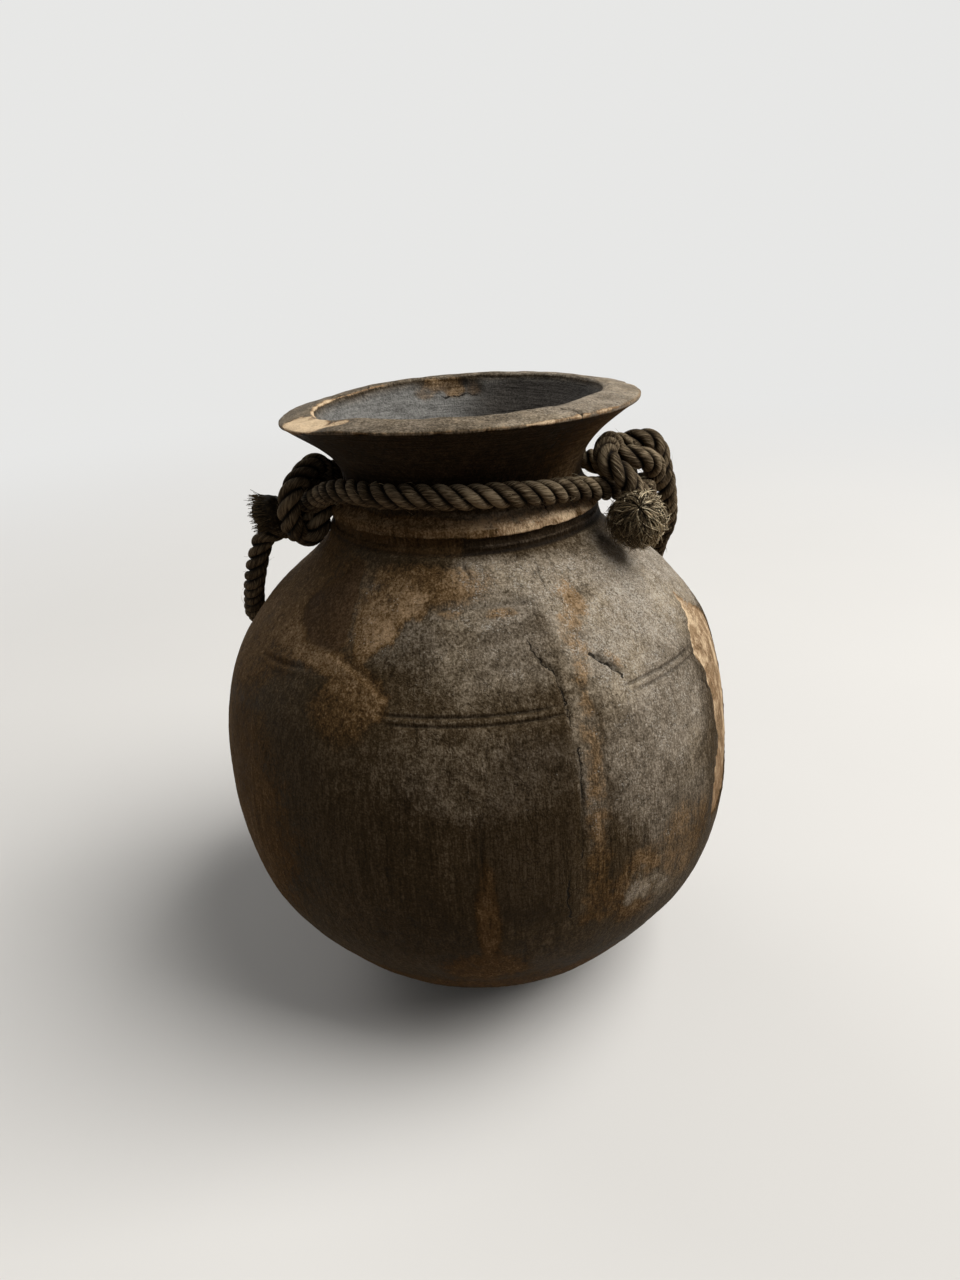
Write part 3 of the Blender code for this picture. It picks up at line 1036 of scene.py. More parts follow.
    def outline(self) -> tuple[Array, Array]:
        """Draw the turned outline from the middle of the foot to the middle of the hollow's floor.

        Returns:
            Rows of radius and height, and the zone number of each row.
        """
        collar, neck, rim = self.collar_radius, self.neck_radius, self.rim_radius
        ledge = self.collar_height
        belly = ((self.foot_radius, 0.0), (63.5, 15.0), (77.0, 27.0), (91.4, 45.0), (105.7, 69.0),
                 (112.0, 94.0), (self.belly_radius, self.belly_height), (109.8, 144.0), (102.0, 167.0),
                 (87.5, 187.0), (72.0, 204.0), (58.5, 217.0))
        step = ((collar - 0.2, ledge - 6.3), (collar - 0.7, ledge - 5.2), (collar - 0.5, ledge - 3.9),
                (collar - 1.2, ledge - 3.3), (collar - 1.3, ledge - 1.4), (collar - 0.4, ledge - 0.7),
                (collar, ledge), (collar - 0.9, ledge + 1.9))
        flare = ((collar - 1.5, ledge + 2.6), (neck + 1.9, self.neck_height - 5.4),
                 (neck, self.neck_height), (52.0, 245.0), (58.4, 254.0),
                 (rim - 3.2, self.rim_height - 2.6), (rim - 0.6, self.rim_height - 1.0))
        lip = ((rim - 0.3, self.rim_height - 0.5), (rim, self.rim_height),
               (rim - 1.0, self.rim_height + 0.9), (rim - 6.0, self.pot_height - 1.2),
               (self.mouth_radius + 2.0, self.pot_height), (self.mouth_radius, self.pot_height - 0.7))
        hollow = ((self.mouth_radius - 0.4, self.pot_height - 1.6), (54.0, 262.0), (48.6, 254.0),
                  (self.throat_radius + 1.2, 240.0), (self.throat_radius + 0.4, 228.0), (49.0, 215.0),
                  (62.5, 202.0), (79.0, 184.0), (94.0, 160.0), (self.hollow_radius, self.belly_height),
                  (100.6, 90.0), (91.0, 60.0), (75.0, 37.0), (54.0, 20.5),
                  (28.0, self.floor_thickness + 0.6), (3.0, self.floor_thickness))
        rows = [np.array([[0.0, 0.0], [self.foot_radius * 0.6, 0.0]])]
        zones = [np.full(2, Zone.BELLY.value)]
        spacing = {Zone.BELLY: 2.2, Zone.COLLAR: 0.5, Zone.NECK: 1.9, Zone.LIP: 1.0, Zone.HOLLOW: 9.0}
        for zone, stretch in zip(Zone, (belly, step, flare, lip, hollow)):
            curve = smooth_curve(stretch)
            spaced = evenly(curve, spacing[zone])
            if zone is Zone.BELLY:
                spaced = self.crowd_marks(curve, spaced)
            if zone is Zone.HOLLOW:
                top = curve[curve[:, 1] > 232.0]
                spaced = np.vstack([evenly(top, 2.2), spaced[spaced[:, 1] < top[-1, 1] - 4.0]])
            rows.append(spaced)
            zones.append(np.full(len(spaced), zone.value))
        rows.append(np.array([[0.0, self.floor_thickness]]))
        zones.append(np.array([Zone.HOLLOW.value]))
        return np.vstack(rows), np.concatenate(zones)

    def crowd_marks(self, curve: Array, spaced: Array) -> Array:
        """Put more rings of vertices at the scored lines and the slit, and fewer near the foot.

        Args:
            curve: The belly's finely divided outline.
            spaced: Its evenly spaced points.

        Returns:
            The points with both bands filled in.
        """
        foot = evenly(curve[curve[:, 1] < 61.0], 3.4)
        below = spaced[(spaced[:, 1] < self.score_band[0]) & (spaced[:, 1] > 62.0)]
        above = spaced[spaced[:, 1] > self.slit_band[1] + 1.0]
        bands = []
        for (low, high), step in ((self.score_band, 0.5), (self.slit_band, 1.0)):
            band = curve[(curve[:, 1] > low) & (curve[:, 1] < high)]
            bands.append(evenly(band, step))
        return np.vstack([foot, below, *bands, above])

    def turn_solid(self) -> tuple[Piece, Array]:
        """Spin the outline into a closed pot.

        Returns:
            The pot, and for each vertex the number of its row in the outline.
        """
        rows, _ = self.outline()
        mesh = bpy.data.meshes.new("turned_pot")
        points = [(radius * MM, 0.0, height * MM) for radius, height in rows]
        mesh.from_pydata(points, [(k, k + 1) for k in range(len(points) - 1)], [])
        number = mesh.attributes.new("row", "FLOAT", "POINT")
        number.data.foreach_set("value", np.arange(len(points), dtype=float))
        pot = bpy.data.objects.new("turned_pot", mesh)
        bpy.context.collection.objects.link(pot)
        bpy.ops.object.select_all(action="DESELECT")
        bpy.context.view_layer.objects.active = pot
        pot.select_set(True)
        bpy.ops.object.mode_set(mode="EDIT")
        bpy.ops.mesh.select_all(action="SELECT")
        bpy.ops.mesh.spin(
            steps=self.columns, angle=math.tau, center=(0.0, 0.0, 0.0), axis=(0.0, 0.0, 1.0))
        bpy.ops.mesh.select_all(action="SELECT")
        bpy.ops.mesh.remove_doubles(threshold=0.00001)
        bpy.ops.mesh.normals_make_consistent(inside=False)
        bpy.ops.object.mode_set(mode="OBJECT")
        found = np.zeros(len(mesh.vertices))
        mesh.attributes["row"].data.foreach_get("value", found)
        mesh.attributes.remove(mesh.attributes["row"])
        mesh.shade_smooth()
        return pot, np.rint(found).astype(int)

    def build(self, groups: EffectGroups) -> Piece:
        """Turn the pot, carve its marks and paint where each finish shows.

        Args:
            groups: The shared node groups.

        Returns:
            The finished pot.
        """
        pot, row = self.turn_solid()
        rows, zones = self.outline()
        places = np.zeros(len(row) * 3)
        pot.data.vertices.foreach_get("co", places)
        places = places.reshape(-1, 3) / MM
        turn = np.degrees(np.arctan2(places[:, 0], -places[:, 1]))
        turn = turn - np.degrees(self.front_crowding * np.sin(np.radians(turn)))
        radius, height = rows[row, 0], rows[row, 1]
        sine, cosine = np.sin(np.radians(turn)), np.cos(np.radians(turn))
        base = np.stack([radius * sine, -radius * cosine, height], axis=1)

        slope = np.gradient(rows, axis=0)
        slope /= np.linalg.norm(slope, axis=1)[:, None]
        climb = np.concatenate([[0.0], np.cumsum(np.linalg.norm(np.diff(rows, axis=0), axis=1))])
        outward = np.stack([slope[row, 1] * sine, -slope[row, 1] * cosine, -slope[row, 0]], axis=1)
        outward[np.isin(row, (0, len(rows) - 1))] = 0.0

        surface = PotSurface(base, turn, radius, height, zones[row], climb[row], rows, climb)
        lift, sink = self.carve(surface)
        base = base + outward * lift[:, None]
        base[:, 2] = np.maximum(base[:, 2] + sink, 0.0)
        pot.data.vertices.foreach_set("co", (base * MM).ravel())
        pot.data.update()
        self.colour_masks(pot, surface)
        cuts = [cut for groove in self.grooves for cut in groove.cuts()]
        pot.data.materials.append(AgedWood().material(groups, cuts))
        settle(pot, Body.POT, Slot.WOOD, "pot_body")
        return pot

    def carve(self, surface: "PotSurface") -> tuple[Array, Array]:
        """Work out how far each vertex moves out along the surface, and how far up.

        Args:
            surface: The smooth pot's vertices.

        Returns:
            The outward moves and the upward moves.
        """
        turn, height = surface.turn, surface.height
        outside, belly, collar = surface.outside, surface.part(Zone.BELLY), surface.part(Zone.COLLAR)
        standing = height > self.flat_foot
        lift = outside * standing * (0.55 * surface.swell + 0.25 * surface.lumps)
        lift += belly * standing * 0.10 * surface.pitted
        lift += ~outside * 0.4 * surface.lumps
        for bulge in self.bulges:
            lift += belly * surface.bulge(bulge)

        eroded = between(turn, -150.0, -100.0, -2.5, 0.5)
        lift -= collar * ease(218.4, 220.0, height) * eroded * (1.3 + 0.6 * surface.ragged)
        lift -= collar * ease(222.0, 224.0, height) * 0.35 * np.clip(surface.ragged, 0.0, 1.0)

        for ring in self.score_lines:
            lift += surface.ring_depth(ring) * belly
        for groove in self.grooves:
            near, fade = surface.trace(groove)
            cut = np.exp(-((near / groove.half_width) ** 2)) * fade
            burr = np.exp(-(((near - 2.2 * groove.half_width) / groove.half_width) ** 2)) * fade
            lift += groove.lip * burr - groove.depth * cut
        for chip in self.chips:
            lift -= chip.depth * surface.chip_share(chip) * (0.75 + 0.5 * surface.ragged)
        for region in (self.bared_side, self.rust_strip, self.dark_corner):
            lift -= outside * region.depth * surface.region(region)
        lift += outside * surface.region(self.stippled) * (0.35 * surface.pitted - 0.25)
        lift += belly * surface.bulge(self.dusty_swell) * (0.5 + 0.14 * surface.pitted)

        worn_rim = between(turn, -165.0, -120.0, -70.0, -25.0)
        lean = self.rim_lean * (surface.base[:, 1] / self.rim_radius + 0.9) / 2.0
        sink = -(lean + self.rim_wear * worn_rim) * ease(240.0, 267.0, height)
        sink += ease(250.0, 266.0, height) * (0.30 * surface.swell + 0.25 * surface.lumps)
        return lift, sink

    def colour_masks(self, pot: Piece, surface: "PotSurface") -> None:
        """Paint the masks that the wood's material reads.

        Args:
            pot: The carved pot.
            surface: The smooth pot's vertices.
        """
        masks = Masks(len(surface.turn))
        self.mark_outside(masks, surface)
        self.mark_cuts(masks, surface)
        self.mark_neck(masks, surface)
        self.mark_rim(masks, surface)
        inside = surface.inside
        across = np.sin(np.radians(surface.turn))
        # Inside the mouth, the left wall, which faces the light, is made lighter: painted light. The
        # right wall is made darker: painted shade. The hollow also gets darker from the throat downwards.
        masks.lay(
            dusty=0.5 * inside * ease(0.2, -0.9, across),
            dark=inside * (0.20 + 0.75 * ease(-0.25, 0.55, across)),
            dirt=0.7 * inside * ease(240.0, 205.0, surface.height),
        )
        worn, fresh, dark, dusty, dirt = masks.clipped()
        paint(pot, "form", (surface.zone >= Zone.NECK.value).astype(float))
        paint(pot, "marks", worn, fresh, dark)
        paint(pot, "tone", dusty, dirt, inside * (1.0 - worn))

    def mark_outside(self, masks: Masks, surface: "PotSurface") -> None:
        """Mark the worn, dark and bared places on the outside, and the dust; the dust on the right
        shoulder and a line along the bared patch's edge are partly painted light.

        Args:
            masks: The masks to mark.
            surface: The smooth pot's vertices.
        """
        outside = surface.outside
        masks.lay(worn=outside * surface.patches(self.worn), dark=outside * surface.patches(self.dark))
        ochre = 0.60 + 0.32 * surface.patches(self.ochre_spots) + 0.10 * surface.lumps
        masks.lay(worn=outside * surface.region(self.stippled) * ochre)
        for region in (self.brown_ridge, self.rust_strip, self.dark_corner):
            masks.lay(worn=outside * surface.region(region))
        for region in (self.dark_corner, self.dark_panel, self.smooth_panel):
            masks.lay(dark=outside * surface.region(region))
        bared = outside * surface.region(self.bared_side)
        masks.lay(worn=bared, fresh=bared * surface.patches(self.fresh))
        masks.lay(fresh=bared * np.clip(0.56 + 0.26 * surface.lumps + 0.26 * surface.ragged, 0.0, 1.0))
        # A light tan line just inside the bared patch's upper left edge: partly fresh broken wood, partly
        # painted highlight on the broken edge.
        edge = ease(78.0, 66.0, surface.turn) * ease(140.0, 158.0, surface.height)
        masks.lay(fresh=outside * surface.rim_of(self.bared_side) * edge)
        scuff = surface.region(self.scuff)
        masks.worn = masks.worn * (1.0 - scuff)
        masks.lay(dusty=outside * np.maximum(surface.patches(self.dusty), scuff))

    def mark_cuts(self, masks: Masks, surface: "PotSurface") -> None:
        """Mark the bared wood of the chips, the grime in the grooves and score lines, and a painted
        highlight on the score lines' burrs.

        Args:
            masks: The masks to mark.
            surface: The smooth pot's vertices.
        """
        for chip in self.chips:
            share = surface.chip_share(chip)
            masks.lay(fresh=share * chip.fresh, worn=share * chip.worn)
        for groove in self.grooves:
            near, fade = surface.trace(groove)
            close = np.exp(-((near / (groove.half_width * 0.85)) ** 2)) * fade
            masks.lay(dirt=close * max(groove.dirt, 0.0), dusty=close * max(-2.0 * groove.dirt, 0.0))
        for ring in self.score_lines:
            depth = surface.ring_depth(ring) * surface.part(Zone.BELLY)
            cut, burr = np.clip(-depth / 0.62, 0.0, 1.0), np.clip(depth / 0.13, 0.0, 1.0)
            # Grime in the cut, and a pale burr beside it: painted highlight on the raised edges.
            masks.lay(dirt=0.62 * cut, dusty=0.20 * burr)

    @staticmethod
    def mark_neck(masks: Masks, surface: "PotSurface") -> None:
        """Mark the collar's step and the neck, with painted light where light falls on them, and painted
        shade on the collar's riser, in the crease at its foot and on the neck.

        Args:
            masks: The masks to mark.
            surface: The smooth pot's vertices.
        """
        turn, height = surface.turn, surface.height
        neck, collar = surface.part(Zone.NECK), surface.part(Zone.COLLAR)
        rear = ease(178.0, 135.0, np.abs(turn))
        # The slope above the collar is lighter and less worn towards the right front, where light falls:
        # painted light, laid as dust.
        lit = ease(-30.0, 20.0, turn) * rear
        slope = neck * ease(233.0, 229.0, height) * (height < 234.0)
        masks.lay(worn=(0.80 - 0.30 * lit) * slope, dusty=0.95 * slope * lit)
        masks.lay(worn=0.80 * collar * ease(222.8, 224.0, height))
        masks.lay(worn=0.62 * collar * (1.0 - ease(-4.0, 2.0, turn) * rear))
        # A light tan band on the collar's edge and slope, on the front and right: partly bare worn wood,
        # partly painted highlight.
        edge = between(height, 222.6, 223.8, 226.5, 231.5) * between(turn, -24.0, 22.0, 80.0, 100.0)
        masks.lay(fresh=(collar | neck) * edge * (0.62 + 0.30 * surface.ragged))
        # The collar's riser and underside are darker: painted shade. A thin pale line on its small step,
        # on the right, is a painted highlight. The crease at the step's foot is darkened as painted
        # shade.
        masks.lay(dark=0.95 * collar * ease(223.8, 223.0, height) * ease(-3.0, 0.0, turn) * rear)
        masks.lay(dark=0.55 * collar * ease(224.0, 222.5, height))
        masks.lay(dusty=0.35 * collar * (np.abs(height - 220.0) < 0.5) * ease(0.0, 8.0, turn))
        masks.lay(dirt=0.6 * collar * ease(218.8, 217.8, height))
        # The neck from just above the collar up to the lip is dark: painted shade, as under the rim.
        # Towards the lit right it is lighter and browner: painted light.
        under = neck * ease(231.0, 238.0, height)
        masks.lay(worn=under * (0.30 + 0.40 * ease(20.0, 55.0, turn) * rear))
        masks.lay(dark=under * (0.92 - 0.45 * ease(25.0, 60.0, turn) * rear))

    def mark_rim(self, masks: Masks, surface: "PotSurface") -> None:
        """Mark the lip and its two edges, partly with painted light.

        Args:
            masks: The masks to mark.
            surface: The smooth pot's vertices.
        """
        turn = surface.turn
        lip = surface.part(Zone.LIP)
        # The lip gets more dust towards the right: partly dust, partly painted light from that side.
        masks.lay(worn=0.30 * lip, dusty=lip * (0.45 + 0.50 * ease(0.0, 0.8, np.sin(np.radians(turn)))))
        # A pale line on the inner edge of the lip, on the left: partly bare rubbed wood, partly painted
        # highlight.
        inner = surface.near_ring(self.mouth_radius, self.pot_height - 0.4)
        rubbed = between(turn, -116.0, -104.0, -74.0, -64.0)
        rubbed = rubbed + 0.62 * between(turn, -156.0, -146.0, -112.0, -104.0)
        masks.lay(fresh=inner * rubbed * (1.0 + 0.35 * surface.ragged))
        # A pale tan run on the outer edge, at the front right: partly bare worn wood, partly painted
        # highlight.
        outer = surface.near_ring(self.rim_radius, self.rim_height + 0.3)
        worn_and_lit_edge = between(turn, 14.0, 20.0, 44.0, 64.0)
        masks.lay(worn=0.5 * outer, fresh=outer * worn_and_lit_edge * (0.86 + 0.45 * surface.ragged))


@dataclass
class PotSurface:
    """The smooth pot's vertices, how uneven the wood is there, and how near each is to a mark.

    A row is one of the outline's, and a climb is a way along the outline from the foot.
    """

    base: Array
    turn: Array
    radius: Array
    height: Array
    zone: Array
    climb: Array
    rows: Array
    row_climb: Array

    def __post_init__(self) -> None:
        """Work out the uneven wood's noise once."""
        self.swell = rough(self.base, 60.0, 2)
        self.lumps = rough(self.base, 16.0, 3, 7.0)
        self.ragged = rough(self.base, 5.5, 3, 2.0)
        self.pitted = rough(self.base, 2.6, 2, 9.0)
        self.top = int(np.argmax(self.rows[:, 1]))
        self.outside = self.zone < Zone.HOLLOW.value
        self.inside = ~self.outside * ease(269.0, 264.0, self.height)

    def part(self, zone: Zone) -> Array:
        """Tell which vertices are in a zone."""
        return self.zone == zone.value

    def bulge(self, bulge: Bulge) -> Array:
        """Give the outward move that a bulge makes at each vertex."""
        return bulge.amount * between(self.turn, *bulge.turns) * between(self.height, *bulge.heights)

    def near_ring(self, radius: float, height: float) -> Array:
        """Give 1 on an edge of the lip, falling to 0 away from it."""
        return np.exp(-((np.hypot(self.radius - radius, self.height - height) / 1.2) ** 2))

    def climb_at(self, height: float) -> float:
        """Find how far up the outside's surface a height is."""
        return float(np.interp(height, self.rows[1 : self.top, 1], self.row_climb[1 : self.top]))

    def away(self, turn: float) -> Array:
        """Give the signed angle from a turn to each vertex, in degrees."""
        return (self.turn - turn + 180.0) % 360.0 - 180.0

    def patches(self, patches: Sequence[Patch]) -> Array:
        """Take the strongest of some soft patches.

        Args:
            patches: The patches.

        Returns:
            The strongest patch's amount at each vertex.
        """
        total = np.zeros(len(self.turn))
        for patch in patches:
            across = np.radians(self.away(patch.turn)) * self.radius
            up = self.climb - self.climb_at(patch.height)
            lean = math.radians(patch.lean)
            side = across * math.cos(lean) - up * math.sin(lean)
            rise = across * math.sin(lean) + up * math.cos(lean)
            far = np.hypot(side / patch.half_width, rise / patch.half_height) + 0.12 * self.lumps
            total = np.maximum(total, patch.amount * ease(1.35, 0.45, far))
        return total

    def edge_distance(self, region: Region) -> Array:
        """Measure how far each vertex is from a region's edge, less than 0 inside it.

        Args:
            region: The region.

        Returns:
            The distances along the surface, made uneven by the region's ragged edge.
        """
        corners = np.array(region.corners)
        middle = corners[:, 0].mean()
        across = np.radians(self.away(middle)) * self.radius
        ups = np.array([self.climb_at(height) for height in corners[:, 1]])
        radii = np.interp(ups, self.row_climb[: self.top], self.rows[: self.top, 0])
        sides = np.radians(corners[:, 0] - middle) * radii
        inside = np.zeros(len(self.turn), dtype=bool)
        far = np.full(len(self.turn), np.inf)
        for k in range(len(sides)):
            start = np.array((sides[k - 1], ups[k - 1]))
            span = np.array((sides[k], ups[k])) - start
            x, y = across - start[0], self.climb - start[1]
            t = np.clip((x * span[0] + y * span[1]) / (span @ span), 0.0, 1.0)
            far = np.minimum(far, np.hypot(x - t * span[0], y - t * span[1]))
            passes = (y < 0.0) != (y < span[1])
            inside ^= passes & (x < span[0] * y / (span[1] if span[1] else 1.0))
        return np.where(inside, -far, far) + region.ragged * self.ragged

    def region(self, region: Region) -> Array:
        """Give how much of a region shows at each vertex."""
        return region.amount * ease(region.soft, -region.soft, self.edge_distance(region))

    def rim_of(self, region: Region) -> Array:
        """Give 1 just inside a region's edge, falling to 0 away from it."""
        return np.exp(-(((self.edge_distance(region) + 1.2) / 1.3) ** 2))

    def ring_depth(self, ring: Ring) -> Array:
        """Work out the cut of a scored line, with a slight burr on both sides.

        Args:
            ring: The line.

        Returns:
            The outward move at each vertex.
        """
        kept = np.full(len(self.turn), ring.elsewhere)
        for start, end, amount in ring.kept:
            window = between(self.turn, start - 3.0, start + 3.0, end - 3.0, end + 3.0)
            kept = np.maximum(kept, amount * window)
        wander = 0.25 * np.sin(np.radians(self.turn * 3.0 + ring.height))
        wander += 0.2 * np.sin(np.radians(self.turn * 7.0))
        near = self.climb - self.climb_at(ring.height) + wander
        cut = np.exp(-((near / ring.half_width) ** 2))
        burr = np.exp(-(((np.abs(near) - 2.0 * ring.half_width) / ring.half_width) ** 2))
        return ring.depth * kept * (0.22 * burr - cut)

    def trace(self, groove: Groove) -> tuple[Array, Array]:
        """Find how near each vertex is to a groove.

        Args:
            groove: The groove.

        Returns:
            The distances, and a share that fades to 0 at the groove's ends.
        """
        line = smooth_curve(groove.line(), 6)
        step = np.arange(len(line))
        wiggle = 0.30 * np.sin(step * 1.9) + 0.18 * np.sin(step * 4.3)
        line[1:-1, 0] += wiggle[1:-1]
        nearest = np.full(len(self.turn), np.inf)
        share = np.zeros(len(self.turn))
        for index, (start, end) in enumerate(zip(line, line[1:])):
            span = end - start
            t = np.clip((self.base - start) @ span / (span @ span), 0.0, 1.0)
            far = np.linalg.norm(self.base - start - t[:, None] * span, axis=1)
            closer = far < nearest
            nearest[closer] = far[closer]
            share[closer] = (index + t[closer]) / (len(line) - 1)
        return nearest, np.sqrt(np.clip(np.sin(math.pi * share), 0.0, 1.0))

    def chip_share(self, chip: Chip) -> Array:
        """Give how deep in a chip each vertex lies.

        Args:
            chip: The chip.

        Returns:
            A share from 0 outside the chip to 1 in its middle.
        """
        across = np.radians(self.away(chip.turn)) * self.radius / chip.half_width
        inward = (self.radius - chip.radius) / chip.half_radius
        rise = (self.height - chip.height) / chip.half_height
        return ease(1.2, 0.5, np.sqrt(across**2 + inward**2 + rise**2) + 0.22 * self.ragged)


LEFT_PIVOT = np.array((-81.0, 10.0, 212.0))
RIGHT_PIVOT = np.array((72.0, 6.0, 242.0))
SWING_AXIS = (RIGHT_PIVOT - LEFT_PIVOT) / np.linalg.norm(RIGHT_PIVOT - LEFT_PIVOT)
PIVOT_RUN = 3.2
BACK_SEAM = np.array((-53.5, 23.4, 233.4))
LEFT_END = np.array((-77.0, -1.5, 223.7))
LEFT_END_WAY = np.array((-0.99, 0.0, -0.08)) / math.hypot(0.99, 0.08)
RIGHT_END = np.array((66.2, -34.0, 225.6))
RIGHT_END_WAY = np.array((0.08, -0.74, -0.67)) / np.linalg.norm((0.08, -0.74, -0.67))
TUFT_MIDDLE = np.array((66.4, -38.0, 221.0))
TUFT_EYE_WAY = np.array((-0.06, -0.68, 0.65)) / np.linalg.norm((-0.06, -0.68, 0.65))


@dataclass
class LaidRope:
    """One old rope of three strands, from its left frayed end to its right one."""

    radius: float = 4.85
    strand_radius: float = 2.24
    strand_stretch: float = 1.27
    lay_length: float = 20.0
    ring_step: float = 0.8
    strand_sides: int = 10
    neck_ring: float = 56.4

    def on_ring(self, turn: float, height: float, outward: float = 0.0) -> tuple[float, float, float]:
        """Place a point of the turn round the neck.

        Args:
            turn: Its turn round the pot.
            height: Its height.
            outward: How far it stands off the neck turn's own ring.

        Returns:
            The point.
        """
        angle = math.radians(turn)
        reach = self.neck_ring + outward
        return (reach * math.sin(angle), -reach * math.cos(angle), height)

    def neck_route(self) -> list:
        """List the route of the neck turn and the left knot, from the left end to the left pivot."""
        return [
            LEFT_END, LEFT_END - LEFT_END_WAY * PIVOT_RUN,
            (-66.5, -3.8, 226.4), (-60.0, -12.0, 230.0), (-53.5, -22.5, 235.5),
            self.on_ring(-55.0, 238.0), self.on_ring(-27.6, 239.6), self.on_ring(0.0, 239.6),
            self.on_ring(25.3, 238.0), self.on_ring(47.9, 235.0, 0.4),
            (53.0, -27.8, 232.0), (60.0, -21.0, 229.7), (66.5, -16.0, 227.4), (73.0, -9.5, 224.6),
            (77.0, -1.5, 222.8), (73.0, 7.2, 225.0), (63.5, 14.5, 229.0), (54.5, 22.5, 231.8),
            self.on_ring(129.6, 233.5, 0.3), self.on_ring(154.8, 234.5, 0.3),
            self.on_ring(180.0, 234.5, 0.3), self.on_ring(205.2, 234.5, 0.3),
            self.on_ring(230.4, 233.8, 0.3), BACK_SEAM,
            (-57.7, 12.5, 235.8), (-61.3, 3.0, 240.9), (-65.2, -6.0, 239.3), (-69.5, -13.6, 235.0),
            (-71.2, -15.8, 227.9), (-71.0, -12.7, 219.2), (-69.4, -5.0, 214.5), (-69.2, 1.6, 214.8),
            (-70.6, 6.0, 215.2), (-73.8, 9.0, 214.2), LEFT_PIVOT + SWING_AXIS * PIVOT_RUN, LEFT_PIVOT,
        ]

    def loop_route(self) -> list:
        """List the carry loop's route, from the left pivot round the back to the right pivot."""
        return [
            LEFT_PIVOT, LEFT_PIVOT - SWING_AXIS * PIVOT_RUN,
            (-86.9, 10.3, 210.2), (-88.9, 10.9, 207.8), (-93.6, 13.0, 197.8), (-97.3, 18.0, 186.4),
            (-101.2, 27.0, 174.3), (-104.0, 40.0, 162.0), (-98.0, 59.0, 152.0), (-82.0, 81.0, 146.3),
            (-50.5, 104.3, 143.3), (0.0, 116.2, 142.5), (49.0, 105.3, 145.5), (76.0, 85.3, 152.3),
            (88.0, 68.0, 162.0), (90.8, 53.5, 173.5), (90.8, 40.0, 186.0), (91.4, 28.5, 197.7),
            (90.3, 19.0, 209.2), (87.6, 12.0, 220.3), (84.9, 8.0, 230.0), (83.3, 6.6, 236.9),
            (81.6, 6.0, 240.2), (78.7, 5.9, 242.3), RIGHT_PIVOT + SWING_AXIS * PIVOT_RUN, RIGHT_PIVOT,
        ]

    def hitch_route(self) -> list:
        """List the right hitch's route, from the right pivot to the right end."""
        return [
            RIGHT_PIVOT, RIGHT_PIVOT - SWING_AXIS * PIVOT_RUN,
            (65.6, 5.2, 241.1), (63.2, 2.8, 241.7), (61.6, -3.0, 243.9), (60.2, -9.0, 245.4),
            (57.6, -16.0, 245.2), (56.3, -22.5, 243.8), (57.0, -28.0, 241.9), (60.0, -31.0, 239.4),
            (62.9, -31.4, 236.4), (64.9, -30.8, 233.2), (65.8, -30.5, 230.3),
            RIGHT_END - RIGHT_END_WAY * PIVOT_RUN, RIGHT_END,
        ]

    def inner_turns(self) -> dict[str, list]:
        """List the routes of the turns inside the two knots, whose ends lie inside other turns."""
        return {
            "neck_turn_and_left_knot": [
                [(-56.0, 2.0, 231.0), (-58.5, -2.5, 226.5), (-60.2, -6.0, 221.0), (-61.8, -7.2, 216.6),
                 (-64.4, -6.8, 213.6), (-67.6, -5.6, 213.4), (-70.4, -5.0, 215.4)],
                [(-54.5, 20.0, 234.5), (-59.5, 11.0, 234.0), (-63.0, 5.0, 233.0), (-65.0, 0.0, 230.0),
                 (-66.0, -4.0, 225.0), (-66.6, -5.4, 220.0)],
            ],
            "right_hitch": [
                [(62.0, -4.0, 241.0), (66.0, -7.0, 239.6), (70.6, -7.5, 238.4), (75.2, -5.5, 236.9),
                 (79.0, -1.5, 234.0), (81.2, 3.0, 230.0), (81.8, 6.0, 225.5)],
            ],
        }

    def centre_line(self, route: list) -> Array:
        """Draw a stretch's centre line, with the kinks of its given points smoothed out.

        Args:
            route: The stretch's own points.

        Returns:
            Evenly spaced points.
        """
        line = evenly(smooth_curve(route), self.ring_step)
        for _ in range(5):
            line[3:-3] = 0.25 * line[2:-4] + 0.5 * line[3:-3] + 0.25 * line[4:-2]
        return evenly(line, self.ring_step)

    def section(self) -> tuple[Array, Array]:
        """Draw the outline of three strands pressed together.

        Returns:
            Angles from the first valley, and the radius at each.
        """
        middle = self.radius - self.strand_radius
        wide = self.strand_radius * self.strand_stretch
        angles, radii = [], []
        for strand in range(3):
            for side in range(self.strand_sides):
                turn = math.radians(-60.0 + 120.0 * side / self.strand_sides)
                a = (math.cos(turn) / self.strand_radius) ** 2 + (math.sin(turn) / wide) ** 2
                b = -2.0 * math.cos(turn) * middle / self.strand_radius**2
                c = (middle / self.strand_radius) ** 2 - 1.0
                radii.append((-b + math.sqrt(max(0.0, b * b - 4.0 * a * c))) / (2.0 * a))
                angles.append(math.radians(60.0 + 120.0 * strand) + turn)
        return np.array(angles), np.array(radii)

    @staticmethod
    def carry_sides(line: Array, start: Array) -> tuple[Array, Array]:
        """Carry a side direction along a line without twisting it.

        Args:
            line: The centre line.
            start: The side direction at its start.

        Returns:
            The two side directions at each point.
        """
        way = np.gradient(line, axis=0)
        way /= np.linalg.norm(way, axis=1)[:, None]
        side = np.zeros_like(way)
        current = start
        for index, heading in enumerate(way):
            current = current - heading * (current @ heading)
            current = current / np.linalg.norm(current)
            side[index] = current
        return side, np.cross(way, side)

